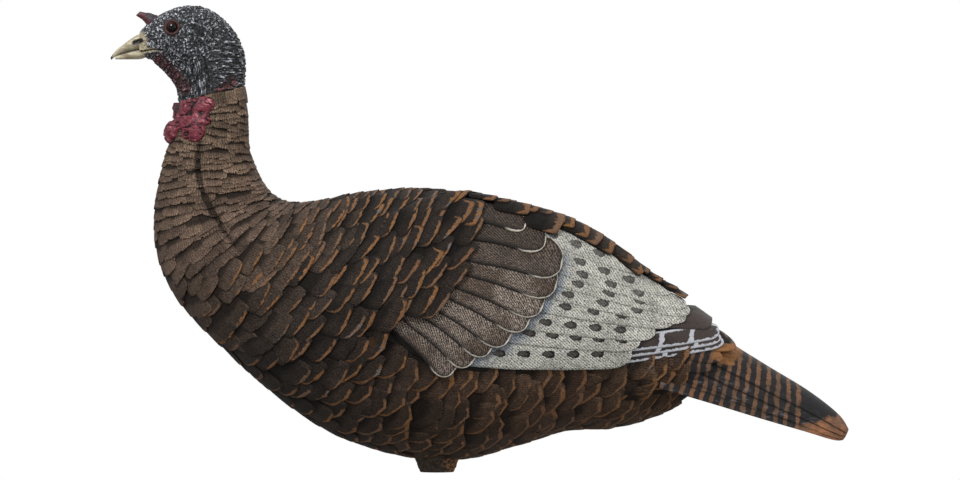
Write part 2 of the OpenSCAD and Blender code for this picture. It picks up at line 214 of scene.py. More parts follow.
def params_for(along, around, move):
    """The change of (u, v) that moves a point by `move` in the surface's tangent plane."""
    aa, bb = (along * along).sum(-1), (around * around).sum(-1)
    ab = (along * around).sum(-1)
    ma, mb = (along * move).sum(-1), (around * move).sum(-1)
    det = np.maximum(aa * bb - ab * ab, 1e-6)
    return (ma * bb - mb * ab) / det, (mb * aa - ma * ab) / det


def locate(table, x, z):
    """The place (u, v) on a loft's left side that is seen at x, z from the left."""
    last = len(table) - 1
    us, vs = np.meshgrid(np.linspace(0.2, last - 0.2, 60), np.linspace(-165, -15, 31), indexing="ij")
    seen = skin(table, us, vs).reshape(-1, 3)
    nearest = ((seen[:, 0] - x[..., None]) ** 2 + (seen[:, 2] - z[..., None]) ** 2).argmin(-1)
    u, v = us.ravel()[nearest], vs.ravel()[nearest]
    for _ in range(8):
        along, around, _ = slopes(table, u, v)
        at = skin(table, u, v)
        miss_x, miss_z = x - at[..., 0], z - at[..., 2]
        det = along[..., 0] * around[..., 2] - along[..., 2] * around[..., 0]
        det = np.where(np.abs(det) < 1, np.where(det < 0, -1.0, 1.0), det)
        du = (miss_x * around[..., 2] - miss_z * around[..., 0]) / det
        dv = (along[..., 0] * miss_z - along[..., 2] * miss_x) / det
        u = np.clip(u + np.clip(du, -0.3, 0.3), 0, last)
        v = np.clip(v + np.clip(dv, -8, 8), -174, -6)
    return u, v


def smooth_step(x, low, high):
    """0 below low and 1 above high, smooth between them."""
    t = np.clip((x - low) / (high - low), 0, 1)
    return t * t * (3 - 2 * t)


def bell(distance, at, width, power=2):
    """1 where a distance is `at`, falling to 0 over `width` each way, more squarely at a higher power."""
    return np.exp(-((distance - at) / width) ** power)


def path_distance(x, z, path):
    """Distances in the side view from points to a path, and how far along it the nearest place is, 0 to 1."""
    path = np.asarray(path, float)
    best = np.full(np.shape(x), 1e9)
    place = np.zeros(np.shape(x))
    for k in range(len(path) - 1):
        a, d = path[k], path[k + 1] - path[k]
        f = np.clip(((x - a[0]) * d[0] + (z - a[1]) * d[1]) / (d @ d), 0, 1)
        dist = np.hypot(x - a[0] - f * d[0], z - a[1] - f * d[1])
        place = np.where(dist < best, (k + f) / (len(path) - 1), place)
        best = np.minimum(best, dist)
    return best, place


def inside_polygon(x, z, corners):
    """Whether points of the side view lie inside a closed outline."""
    corners = np.asarray(corners, float)
    inside = np.zeros(np.shape(x), bool)
    for a, b in zip(corners, np.roll(corners, -1, axis=0)):
        crosses = (a[1] > z) != (b[1] > z)
        slope = (b[0] - a[0]) / (b[1] - a[1] if b[1] != a[1] else 1e-9)
        inside ^= crosses & (x < a[0] + (z - a[1]) * slope)
    return inside


HASH_AXES = np.array([374761393, 668265263, 1440662683])
HASH_SEED = 974634777
HASH_MIX = 1274126177
HASH_TOP = 0xFFFF
SEED_SHIFT = 7.31


def noise(p, size, seed=0):
    """Smooth noise, -1 to 1, at points p, with lumps of `size` millimetres (one size, or one per axis)."""
    q = np.asarray(p, float) / size + seed * SEED_SHIFT
    cell = np.floor(q).astype(np.int64)
    f = q - cell
    f = f * f * (3 - 2 * f)
    total = np.zeros(q.shape[:-1])
    for corner in np.ndindex(2, 2, 2):
        c = cell + np.array(corner)
        n = (c * HASH_AXES).sum(-1) + seed * HASH_SEED
        n = (n ^ (n >> 13)) * HASH_MIX
        value = ((n ^ (n >> 16)) & HASH_TOP) / (HASH_TOP / 2) - 1
        total += value * np.where(corner, f, 1 - f).prod(-1)
    return total


# --- Meshes ---

def make_mesh(name, points, faces, body, uv=None, values=None):
    """A mesh object from points in millimetres, riding on a body.

    uv is per point, and values are named numbers or colours per point."""
    mesh = bpy.data.meshes.new(name)
    mesh.from_pydata((np.asarray(points, float) * MM).tolist(), [], faces)
    mesh.validate()
    if uv is not None:
        layer = mesh.uv_layers.new(name="feather")
        loops = np.zeros(len(mesh.loops), int)
        mesh.loops.foreach_get("vertex_index", loops)
        layer.data.foreach_set("uv", np.asarray(uv, float)[loops].ravel())
    for key, value in (values or {}).items():
        value = np.asarray(value, float)
        if value.ndim == 1:
            mesh.attributes.new(key, "FLOAT", "POINT").data.foreach_set("value", value)
        else:
            rgba = np.column_stack([value, np.ones(len(value))])
            mesh.attributes.new(key, "FLOAT_COLOR", "POINT").data.foreach_set("color", rgba.ravel())
    mesh.polygons.foreach_set("use_smooth", [True] * len(mesh.polygons))
    solid = bmesh.new()
    solid.from_mesh(mesh)
    bmesh.ops.recalc_face_normals(solid, faces=solid.faces)
    solid.to_mesh(mesh)
    solid.free()
    thing = bpy.data.objects.new(name, mesh)
    bpy.context.scene.collection.objects.link(thing)
    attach(thing, body)
    return thing


def dress(thing, material, node=None):
    """Gives a piece its material and slot, and lets it stand for a CAD node."""
    thing.data.materials.append(material)
    if node:
        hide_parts(node)


def grid_quads(m, n, start=0, wrapped=False):
    """Quads of an m by n grid of points from number `start` on. Wrapped, its last column joins its first."""
    i, j = np.meshgrid(np.arange(m - 1), np.arange(n if wrapped else n - 1), indexing="ij")
    i, j = i.ravel(), j.ravel()
    k = (j + 1) % n
    return np.stack([i * n + j, (i + 1) * n + j, (i + 1) * n + k, i * n + k], 1) + start


def grid_rim(m, n):
    """The rows and the columns of the points round the edge of an m by n grid."""
    rim = [(0, j) for j in range(n)] + [(i, n - 1) for i in range(1, m)]
    rim += [(m - 1, j) for j in range(n - 2, -1, -1)] + [(i, 0) for i in range(m - 2, 0, -1)]
    return np.array(rim).T


def slab(name, outer, inner, body, values=None):
    """A closed slab between two grids of points. values are given on the outer grid."""
    m, n = outer.shape[:2]
    back = m * n
    i, j = grid_rim(m, n)
    k = i * n + j
    nxt = np.roll(k, -1)
    walls = np.stack([k, nxt, nxt + back, k + back], 1)
    faces = np.concatenate([grid_quads(m, n), grid_quads(m, n, back)[:, ::-1], walls])
    points = np.concatenate([outer.reshape(-1, 3), inner.reshape(-1, 3)])
    both = {key: np.tile(np.asarray(value).ravel(), 2) for key, value in (values or {}).items()}
    return make_mesh(name, points, faces.tolist(), body, values=both)


def tube(name, outer, body, inner=None, values=None):
    """A closed body from rings of points. With inner rings it is hollow from its first ring on."""
    m, n = outer.shape[:2]
    faces = grid_quads(m, n, wrapped=True).tolist()
    faces.append(((m - 1) * n + np.arange(n)).tolist())
    points = outer.reshape(-1, 3)
    values = {key: np.asarray(value).ravel() for key, value in (values or {}).items()}
    if inner is None:
        faces.append(np.arange(n)[::-1].tolist())
    else:
        start, rows = m * n, inner.shape[0]
        faces += grid_quads(rows, n, start, wrapped=True)[:, ::-1].tolist()
        faces.append((start + (rows - 1) * n + np.arange(n)[::-1]).tolist())
        j = np.arange(n)
        k = (j + 1) % n
        faces += np.stack([j, k, start + k, start + j], 1).tolist()
        points = np.concatenate([points, inner.reshape(-1, 3)])
        values = {key: np.concatenate([value, np.zeros(inner.size // 3)]) for key, value in values.items()}
    return make_mesh(name, points, faces, body, values=values)


# --- Feathers: closed cards laid on a loft ---

UV_PER_MM = 0.01


class Feathers:
    """A group of feather cards with equal grids, made as one mesh.

    A card's grid runs from its base to its tip (s, 0 to 1) and across it (t, -1 to 1, +1 being the lower side
    on a feather that points to the tail). Sizes may be one number or one for each feather."""

    def __init__(self, count, length, width, blunt, shoulder, skew=0, ragged=0, rows=10, cols=7, skirt=1.6):
        """blunt: how square the tip is. shoulder: where it starts to round. skew: how much the tip slants.
        ragged: unevenness of the tip in millimetres. skirt: depth of the card's side wall."""
        self.count, self.rows, self.cols, self.skirt = count, rows, cols, skirt
        ones = np.ones(count)
        self.length = length * ones
        width, blunt, self.skew = width * ones, blunt * ones, skew * ones
        self.s = 1 - (1 - np.linspace(0, 1, rows)) ** 1.5
        self.t = np.linspace(-1, 1, cols)
        power = np.maximum(blunt, 1.2)
        past = np.clip((self.s - shoulder) / (1 - shoulder), 0, 1)
        tip = (1 - past[None] ** blunt[:, None]) ** (1 / power[:, None])
        root = np.clip(self.s / 0.3, 0, 1) ** 0.5 * 0.25 + 0.75
        half = width[:, None] / 2 * np.maximum(tip, 0.02) * root
        self.offset = half[..., None] * self.t
        shape = self.offset.shape
        rng = np.random.default_rng(count)
        self.reach = rng.uniform(-1, 1, (count, 1, cols)) * ragged * self.s[None, :, None] ** 3
        side_gap = half[..., None] * (1 - np.abs(self.t))
        end_gap = np.broadcast_to(((1 - self.s) * self.length[:, None])[..., None], shape)
        self.rim = np.minimum(side_gap, end_gap)
        part = np.clip(np.abs(self.offset) / (width[:, None, None] / 2), 0, 1)
        edge_at = shoulder + (1 - shoulder) * (1 - part ** power[:, None, None]) ** (1 / blunt[:, None, None])
        self.to_tip = np.clip(edge_at - self.s[None, :, None], 0, 1) * self.length[:, None, None]

    def walk(self, table, u, v, turn):
        """Lays the cards along a loft's own run from (u, v), turned away from it by `turn` degrees."""
        angle = np.radians(turn)[:, None]
        last = len(table) - 1
        places, headings = [], []
        for i, s in enumerate(self.s):
            if i:
                along, around, _ = slopes(table, u, v)
                step = (s - self.s[i - 1]) * self.length
                du, dv = params_for(along, around, headings[-1] * step[:, None])
                u, v = np.clip(u + du, 0, last), v + dv
            along, _, out = slopes(table, u, v)
            run = unit(along)
            headings.append(run * np.cos(angle) + np.cross(out, run) * np.sin(angle))
            places.append((u, v))
        centre_u, centre_v = np.array(places).transpose(1, 2, 0)
        heading = np.stack(headings, 1)
        along, around, out = slopes(table, centre_u, centre_v)
        across = np.cross(heading, out)
        lean = across + heading * self.skew[:, None, None]
        move = lean[:, :, None] * self.offset[..., None] + heading[:, :, None] * self.reach[..., None]
        du, dv = params_for(along[:, :, None], around[:, :, None], move)
        self._settle(table, np.clip(centre_u[..., None] + du, 0, last), centre_v[..., None] + dv)
        return self

    def project(self, table, root, tip, sag):
        """Lays the cards so that, seen from the left, they run from root to tip (x, z), with a sag."""
        run = unit(tip - root)
        down = np.stack([run[:, 1], -run[:, 0]], -1)
        s = self.s[None, :, None]
        centre = root[:, None] + (tip - root)[:, None] * s + down[:, None] * sag * np.sin(np.pi * s)
        lean = down + run * self.skew[:, None]
        seen = centre[:, :, None] + lean[:, None, None] * self.offset[..., None]
        seen = seen + run[:, None, None] * self.reach[..., None]
        self._settle(table, *locate(table, seen[..., 0], seen[..., 1]))
        return self

    def _settle(self, table, u, v):
        """Keeps the cards' points and normals at places (u, v) of a loft."""
        self.u, self.v = u, v
        self.base = skin(table, u, v)
        self.normal = slopes(table, u, v)[2]
        self.height = np.zeros(u.shape)

    def lift(self, lift, sink=0.8, dome=0.6, raise_by=0, tilt=0):
        """Sets the heights: -sink at the base to lift at the tip, domed, raised, tilted to the lower side."""
        ones = np.ones(self.count)
        lift, sink, raise_by, tilt = lift * ones, sink * ones, raise_by * ones, tilt * ones
        rise = -sink[:, None] + (lift + sink)[:, None] * self.s ** 0.9
        swell = (1 - self.t ** 2) * np.sin(np.pi * np.clip(self.s, 0.1, 1))[:, None] ** 0.7
        self.height = raise_by[:, None, None] + rise[..., None] + dome * swell + tilt[:, None, None] * self.t
        return self

    def build(self, name, body, sign=-1, values=None, per_feather=None):
        """Makes the mesh, as laid or carried over to the side of that sign.

        values are arrays on the cards' grid, and per_feather has one number or colour for each feather."""
        n, r, c = self.count, self.rows, self.cols
        top = self.base + self.normal * self.height[..., None]
        ei, ej = grid_rim(r, c)
        low = top[:, ei, ej] - self.normal[:, ei, ej] * self.skirt
        m = len(ei)
        per = r * c + m
        points = on_side(np.concatenate([top.reshape(n, r * c, 3), low], 1).reshape(-1, 3), sign)
        ring = ei * c + ej
        k = np.arange(m)
        nxt = (k + 1) % m
        i = np.arange(1, r - 2)
        strips = r * c + np.stack([m - i, c - 1 + i, c + i, m - i - 1], 1)
        walls = np.stack([ring[nxt], ring[k], r * c + k, r * c + nxt], 1)
        quads = np.concatenate([grid_quads(r, c)[:, ::-1], walls, strips])
        root_end = r * c + np.append(np.arange(c + 1), m - 1)
        tip_end = r * c + np.arange(c + r - 3, m - r + 3)
        starts = np.arange(n) * per
        faces = (quads[None] + starts[:, None, None]).reshape(-1, 4).tolist()
        for end in (root_end, tip_end):
            faces += (end[None] + starts[:, None]).tolist()

        def spread(grid):
            grid = np.broadcast_to(grid, (n, r, c, *np.shape(grid)[3:]))
            tail = grid.shape[3:]
            return np.concatenate([grid.reshape(n, r * c, *tail), grid[:, ei, ej]], 1).reshape(n * per, *tail)

        along = self.s[None, :, None]
        from_tip = np.broadcast_to((along - 1) * self.length[:, None, None], self.offset.shape)
        uv = np.stack([self.offset, from_tip], -1)
        wall = np.zeros((n, per))
        wall[:, r * c:] = 1
        data = {"rim": spread(self.rim), "along": spread(along), "to_tip": spread(self.to_tip),
                "across": spread(self.t[None, None]), "wall": wall.ravel()}
        for key, value in (values or {}).items():
            data[key] = spread(value)
        for key, value in (per_feather or {}).items():
            data[key] = np.repeat(value * np.ones((n, 1) if np.ndim(value) > 1 else n), per, axis=0)
        return make_mesh(name, points, faces, body, uv=spread(uv) * UV_PER_MM, values=data)


# --- Node graphs ---

# What most of a noise texture's values lie between
NOISE_RANGE = (0.3, 0.7)


def linear(r, g, b):
    """An sRGB colour, given from 0 to 255, as linear values."""
    return tuple(c / 255 / 12.92 if c < 10.3 else ((c / 255 + 0.055) / 1.055) ** 2.4 for c in (r, g, b))


class Graph:
    """A material's node tree, built by short calls. Arguments are numbers, colours or sockets."""

    def __init__(self, name, roughness=0.8, specular=0.3):
        self.material = bpy.data.materials.new(name)
        self.material.use_nodes = True
        self.tree = self.material.node_tree
        self.shader = self.tree.nodes["Principled BSDF"]
        self.shader.inputs["Roughness"].default_value = roughness
        self.shader.inputs["Specular IOR Level"].default_value = specular

    def put(self, socket, value):
        if isinstance(value, bpy.types.NodeSocket):
            self.tree.links.new(value, socket)
        elif isinstance(value, (tuple, list)) and socket.type == "RGBA":
            socket.default_value = (*value[:3], 1)
        else:
            socket.default_value = value

    def node(self, kind, *values, **settings):
        made = self.tree.nodes.new(kind)
        for key, setting in settings.items():
            setattr(made, key, setting)
        for socket, value in zip(made.inputs, values):
            if value is not None:
                self.put(socket, value)
        return made

    def math(self, operation, a, b=0.0, c=0.0):
        return self.node("ShaderNodeMath", a, b, c, operation=operation).outputs[0]

    def add(self, a, b):
        return self.math("ADD", a, b)

    def minus(self, a, b):
        return self.math("SUBTRACT", a, b)

    def times(self, a, b):
        return self.math("MULTIPLY", a, b)

    def invert(self, value):
        return self.minus(1.0, value)

    def step(self, value, low, high):
        """0 below low and 1 above high, smooth between them."""
        made = self.node("ShaderNodeMapRange", value, low, high, 0.0, 1.0, interpolation_type="SMOOTHSTEP")
        return made.outputs[0]

    def scale(self, value, low, high, to_low, to_high):
        return self.node("ShaderNodeMapRange", value, low, high, to_low, to_high).outputs[0]

    def mix(self, factor, a, b, blend="MIX"):
        made = self.node("ShaderNodeMix", data_type="RGBA", blend_type=blend, clamp_factor=True)
        self.put(made.inputs[0], factor)
        self.put(made.inputs[6], a)
        self.put(made.inputs[7], b)
        return made.outputs[2]

    def shade(self, colour, value):
        """A colour made darker or lighter by a number."""
        grey = self.node("ShaderNodeCombineXYZ", value, value, value).outputs[0]
        return self.mix(1.0, colour, grey, "MULTIPLY")

    def attribute(self, name, colour=False):
        made = self.node("ShaderNodeAttribute", attribute_name=name)
        return made.outputs["Color" if colour else "Fac"]

    def place(self):
        return self.node("ShaderNodeTexCoord").outputs["Object"]

    def noise(self, scale, detail=3.0, vector=None, rough=0.6):
        """Noise in the object's own space; scale is in lumps per metre."""
        made = self.node("ShaderNodeTexNoise")
        self.put(made.inputs["Vector"], vector or self.place())
        self.put(made.inputs["Scale"], scale)
        self.put(made.inputs["Detail"], detail)
        self.put(made.inputs["Roughness"], rough)
        return made.outputs["Fac"]

    def waver(self, low, high, *noise):
        """Noise whose usual range goes from low to high."""
        return self.scale(self.noise(*noise), *NOISE_RANGE, low, high)

    def wave(self, value, pitch):
        """Waves between 0 and 1 along a value."""
        return self.scale(self.math("SINE", self.times(value, 2 * math.pi / pitch)), -1.0, 1.0, 0.0, 1.0)

    def stretched(self, *factors):
        """The object's own coordinates times a factor for each axis; a small factor draws a noise out."""
        return self.node("ShaderNodeVectorMath", self.place(), factors, operation="MULTIPLY").outputs[0]

    def side_view(self):
        """x and z in millimetres in the object's own space."""
        split = self.node("ShaderNodeSeparateXYZ", self.place())
        return self.times(split.outputs[0], 1 / MM), self.times(split.outputs[2], 1 / MM)

    def bump(self, height, distance, strength=1.0):
        made = self.node("ShaderNodeBump")
        self.put(made.inputs["Strength"], strength)
        self.put(made.inputs["Distance"], distance)
        self.put(made.inputs["Height"], height)
        return made.outputs["Normal"]

    def finish(self, colour, normal=None):
        self.put(self.shader.inputs["Base Color"], colour)
        if normal is not None:
            self.put(self.shader.inputs["Normal"], normal)
        return self.material


def feather_coordinates(g):
    """Millimetres on a feather, across from its shaft and along it towards the tip, and its raw map."""
    uv = g.node("ShaderNodeUVMap", uv_map="feather").outputs["UV"]
    split = g.node("ShaderNodeSeparateXYZ", uv)
    return g.times(split.outputs[0], 1 / UV_PER_MM), g.times(split.outputs[1], 1 / UV_PER_MM), uv


def barbs(g, x, y, pitch, slant, uv, wander=0.8, curl=0.0):
    """Fine lines that slant across a feather, towards its tip on the lower side, from 0 to 1."""
    drift = g.waver(-wander, wander, 60.0, 2.0, uv)
    line = g.add(g.minus(y, g.times(x, g.add(g.times(x, curl), slant))), drift)
    return g.wave(line, pitch)


def gapped(g, colour):
    """A feather's colour with painted shade on its side walls, so that overlaps read as dark gaps."""
    return g.shade(colour, g.scale(g.attribute("wall"), 0.0, 1.0, 1.0, 0.2))


def contour_feather_material():
    """Painted body feather: dark speckled ground with fine barbs, painted shade below the covering feathers
    and in the neck's fold, a painted highlight near the tip, and a worn stroke of paint at the tip.
    """
    g = Graph("contour_feathers", roughness=0.85, specular=0.2)
    x, _, uv = feather_coordinates(g)
    drift = g.waver(-1.2, 1.2, 70.0, 2.0, uv)
    hatch = g.wave(g.add(x, drift), 2.6)
    speckle = g.scale(g.noise(750.0, 3.0), 0.36, 0.64, 0.0, 1.0)
    weight = g.attribute("hatch")
    light = g.add(g.times(hatch, weight), g.times(speckle, g.invert(g.times(weight, 0.6))))
    gain = g.times(g.scale(light, 0.0, 1.1, 0.12, 1.95), g.waver(0.7, 1.3, 40.0, 3.0))
    ground = g.shade(g.attribute("tone", True), gain)
    # Painted shade: each feather darkens where its exposed part begins, below the tip of the feather over it.
    shadow = g.scale(g.step(g.attribute("along"), 0.52, 0.74), 0.0, 1.0, g.attribute("gap"), 1.0)
    ground = g.shade(ground, shadow)
    to_tip = g.attribute("to_tip")
    # Painted highlight: the ground is lightened near each feather's tip.
    chalk_and_highlight = g.times(g.invert(g.step(to_tip, 0.6, 4.0)), weight)
    ground = g.shade(ground, g.scale(g.times(chalk_and_highlight, speckle), 0.0, 0.5, 1.0, 1.5))
    ragged = g.scale(g.noise(230.0, 3.0), 0.32, 0.68, 0.7, 1.3)
    across = g.attribute("across")
    width = g.times(g.times(g.attribute("band"), ragged), g.scale(across, -1.0, 1.0, 1.35, 0.65))
    away = g.math("ABSOLUTE", g.minus(across, g.attribute("band_at")))
    reach = g.attribute("band_reach")
    stroke = g.invert(g.step(to_tip, g.times(width, 0.75), g.add(width, 0.3)))
    stroke = g.times(stroke, g.invert(g.step(away, g.times(reach, 0.8), reach)))
    stroke = g.times(stroke, g.step(width, 0.4, 1.2))
    worn = g.scale(g.noise(600.0, 3.0), 0.36, 0.66, 0.7, 1.35)
    paint = g.mix(g.step(g.noise(60.0, 2.0), 0.6, 0.7), g.attribute("edge", True), linear(108, 100, 96))
    colour = g.mix(g.times(stroke, 0.92), ground, g.shade(paint, worn))
    # Painted shade along the fold down the side of the neck.
    colour = g.shade(colour, g.scale(g.attribute("crease"), 0.0, 1.0, 1.0, 0.25))
    return g.finish(gapped(g, colour), g.bump(light, 0.0006, 0.9))


def covert_material():
    """Brown wing coverts: slanting pale barbs, a paler middle painted as a highlight, the upper coverts
    darker, and painted shade along each rim inside a thin white fringe.
    """
    g = Graph("wing_coverts", roughness=0.7, specular=0.35)
    x, y, uv = feather_coordinates(g)
    lines = barbs(g, x, y, 4.3, 1.2, uv, 2.0, 0.025)
    speckle = g.scale(g.noise(650.0, 3.0), 0.35, 0.65, 0.0, 1.0)
    lines = g.times(g.step(lines, 0.2, 0.9), g.scale(speckle, 0.0, 1.0, 0.4, 1.35))
    # Painted highlight: pale patches in the middle of the coverts, most on the lower ones.
    pale = g.times(g.step(g.noise(24.0, 3.0), 0.38, 0.58), g.attribute("painted_sheen"))
    colour = g.mix(lines, linear(38, 30, 26), g.mix(pale, linear(136, 115, 99), linear(212, 194, 178)))
    # The coverts with less of the painted highlight are darker, the upper ones most.
    colour = g.shade(colour, g.scale(g.attribute("painted_sheen"), 0.0, 1.0, 0.5, 1.0))
    # Painted shade: each covert darkens towards its rim, inside the white fringe.
    edge = g.add(g.attribute("rim"), g.waver(-0.5, 0.5, 160.0, 2.0))
    colour = g.shade(colour, g.scale(edge, 1.0, 5.5, 0.1, 1.0))
    fringe = g.invert(g.step(edge, 1.2, 1.8))
    fringe = g.times(fringe, g.step(g.attribute("along"), 0.7, 0.82))
    colour = g.mix(fringe, colour, linear(204, 196, 182))
    return g.finish(gapped(g, colour), g.bump(lines, 0.0009, 0.9))


def secondary_material():
    """Pale grey flight feathers: slanting barbs, dark teardrop spots, a blue-grey shade at the coverts."""
    g = Graph("secondaries", roughness=0.7, specular=0.3)
    x, y, uv = feather_coordinates(g)
    lines = barbs(g, x, y, 3.9, 1.3, uv, 1.2)
    speckle = g.scale(g.noise(700.0, 3.0), 0.36, 0.64, 0.0, 1.0)
    lines = g.times(g.step(lines, 0.1, 0.9), g.scale(g.noise(45.0, 2.0), 0.35, 0.65, 0.25, 0.8))
    light = g.add(lines, g.times(speckle, 0.75))
    gain = g.scale(light, 0.0, 1.2, 0.02, 1.47)
    blue = g.step(g.add(g.attribute("shadow"), g.waver(-0.25, 0.25, 90.0, 3.0)), 0.15, 0.9)
    ground = g.shade(g.mix(blue, linear(196, 194, 184), linear(122, 129, 138)), gain)
    back = g.minus(g.times(y, -1.0), g.attribute("phase"))
    pitch = g.attribute("pitch")
    count = g.math("DIVIDE", back, pitch)
    inside = g.times(g.math("FRACT", count), pitch)
    f = g.invert(g.math("DIVIDE", inside, SPOT_LENGTH))
    blunt_end = g.math("POWER", g.math("MAXIMUM", f, 0.0), 0.7)
    fine_end = g.math("POWER", g.math("MAXIMUM", g.invert(f), 0.0), 0.35)
    swell = g.times(blunt_end, fine_end)
    wobble = g.waver(-0.8, 0.8, 300.0, 2.0)
    bulk = g.add(g.times(swell, SPOT_WIDTH), wobble)
    margin = g.minus(bulk, g.math("ABSOLUTE", g.minus(x, g.attribute("spot_at"))))
    real = g.times(g.step(back, -0.1, 0.0), g.step(f, 0.0, 0.06))
    spot = g.times(g.times(g.step(margin, -0.3, 0.5), real), g.attribute("spotted"))
    heart = g.shade(linear(78, 73, 70), gain)
    rim = g.times(g.math("MAXIMUM", g.minus(f, 0.5), 0.0), 6.0)
    outline = g.step(g.minus(margin, rim), 0.5, 1.7)
    colour = g.mix(spot, ground, g.mix(outline, linear(18, 17, 17), heart))
    # Painted shade on the cards' side walls.
    colour = g.mix(g.times(g.attribute("wall"), 0.8), colour, linear(60, 60, 60))
    return g.finish(colour, g.bump(light, 0.0006, 0.8))


def primary_material():
    """Long outer flight feathers: dark brown blocks between white bars, with white edges."""
    g = Graph("primaries", roughness=0.7, specular=0.3)
    x, y, uv = feather_coordinates(g)
    lines = barbs(g, x, y, 2.0, 1.2, uv)
    speckle = g.noise(600.0, 4.0)
    gain = g.scale(g.add(g.times(lines, 0.4), speckle), 0.3, 1.1, 0.6, 1.4)
    pitch = g.attribute("pitch")
    back = g.minus(g.times(y, -1.0), g.add(g.attribute("phase"), g.times(x, 0.35)))
    back = g.add(back, g.waver(-1.2, 1.2, 180.0, 2.0))
    inside = g.times(g.math("FRACT", g.math("DIVIDE", back, pitch)), pitch)
    bar = g.times(g.invert(g.step(inside, 4.4, 5.8)), g.step(back, -0.2, 0.0))
    edge = g.invert(g.step(g.add(g.attribute("rim"), g.waver(-1.4, 1.0, 220.0, 3.0)), 1.6, 2.6))
    white = g.times(g.math("MAXIMUM", bar, edge), g.attribute("edged"))
    dark = g.shade(g.mix(g.step(g.noise(30.0), 0.45, 0.6), linear(42, 37, 37), linear(66, 56, 52)), gain)
    pale = g.shade(linear(188, 190, 196), gain)
    return g.finish(gapped(g, g.mix(white, dark, pale)), g.bump(g.add(lines, speckle), 0.0004, 0.8))


def tail_material():
    """Barred tail: black and brown bars, a rufous patch at the root, a black end and a rufous tip."""
    g = Graph("barred_tail", roughness=0.75, specular=0.3)
    x, z = g.side_view()
    wobble = g.waver(-1.6, 1.6, 90.0, 3.0)
    lean = g.scale(x, 250.0, 400.0, 0.34, 0.04)
    row = g.add(g.minus(x, g.times(g.minus(z, 80.0), lean)), wobble)
    turns = g.scale(row, 230.0, 400.0, 0.0, 14.6)
    wave = g.math("SINE", g.times(turns, 2 * math.pi))
    streak = g.noise(300.0, 3.0, g.stretched(0.25, 1.0, 1.0))
    speckle = g.noise(700.0, 4.0)
    gain = g.scale(g.add(streak, speckle), 0.6, 1.4, 0.45, 1.5)
    brown = g.mix(g.step(g.noise(35.0), 0.4, 0.6), linear(96, 72, 55), linear(118, 84, 60))
    bars = g.mix(g.step(wave, 0.05, 0.6), linear(34, 31, 32), brown)
    past = g.step(g.add(row, g.times(wobble, 2.0)), 384.0, 390.0)
    bars = g.mix(past, bars, linear(34, 32, 34))
    chalk_and_highlight = g.times(g.step(streak, 0.56, 0.7), g.step(g.math("ABSOLUTE", g.attribute("fan")), 50.0, 80.0))
    bars = g.mix(g.times(chalk_and_highlight, 0.5), bars, linear(96, 100, 108))
    tip_side = g.minus(g.times(g.minus(x, 424.0), 0.27), g.times(g.minus(z, 61.0), 0.963))
    tip = g.step(g.add(tip_side, g.times(wobble, 1.5)), -2.0, 3.0)
    tip = g.times(tip, g.step(x, 340.0, 380.0))
    rufous = g.mix(g.step(g.noise(60.0), 0.35, 0.65), linear(152, 104, 72), linear(112, 82, 64))
    bars = g.mix(tip, bars, rufous)
    patch_x = g.math("POWER", g.math("DIVIDE", g.minus(x, 308.0), 15.0), 2.0)
    patch_z = g.math("POWER", g.math("DIVIDE", g.minus(z, 127.0), 11.0), 2.0)
    patch = g.invert(g.step(g.add(g.add(patch_x, patch_z), g.times(wobble, 0.3)), 0.6, 1.3))
    bars = g.mix(patch, bars, linear(140, 96, 58))
    colour = g.shade(bars, gain)
    # Painted shade beside each vane's raised edge.
    colour = g.shade(colour, g.scale(g.attribute("step_gap"), 0.0, 1.0, 1.0, 0.12))
    return g.finish(colour, g.bump(g.add(streak, g.times(speckle, 0.6)), 0.0006, 0.8))


def skin_material():
    """Bare head skin: pale blue-grey on near black, with red and horn-coloured parts; its mottling and cracks
    are the skin's own, the dark hollows and pale crests of its wrinkles painted shade and highlight.
    """
    g = Graph("wrinkled_skin", roughness=0.62, specular=0.4)
    relief = g.attribute("relief")
    speckle = g.noise(700.0, 4.0)
    nape, folds = g.attribute("nape"), g.attribute("folds")
    fine = g.times(g.noise(430.0, 1.5), g.invert(g.add(nape, folds)))
    for weight, stretch in ((nape, (0.3, 0.3, 1.15)), (folds, (1.15, 1.15, 0.3))):
        fine = g.add(fine, g.times(g.noise(430.0, 1.5, g.stretched(*stretch)), weight))
    # Painted shade and highlight: the wrinkles' height darkens their hollows and lightens their crests, over
    # the skin's own mottling.
    level = g.add(g.times(relief, 0.35), g.scale(fine, 0.4, 0.62, -0.15, 0.65))
    level = g.add(level, g.scale(speckle, *NOISE_RANGE, -0.15, 0.15))
    crack = g.step(g.math("ABSOLUTE", g.minus(g.noise(300.0, 1.0), 0.5)), 0.01, 0.06)
    level = g.minus(level, g.times(g.invert(crack), 0.5))
    grey = g.mix(g.step(level, 0.05, 0.65), linear(10, 10, 12), linear(90, 93, 99))
    grey = g.mix(g.step(level, 0.55, 1.0), grey, linear(204, 207, 213))
    red = g.mix(g.step(level, 0.1, 0.9), linear(26, 12, 14), linear(122, 66, 68))
    horn = g.mix(g.step(speckle, 0.3, 0.7), linear(150, 138, 112), linear(190, 180, 152))
    colour = g.mix(g.attribute("red"), grey, red)
    colour = g.mix(g.attribute("horn"), colour, horn)
    colour = g.mix(g.attribute("dark"), colour, linear(14, 13, 14))
    return g.finish(colour, g.bump(g.add(speckle, relief), 0.0005, 0.7))


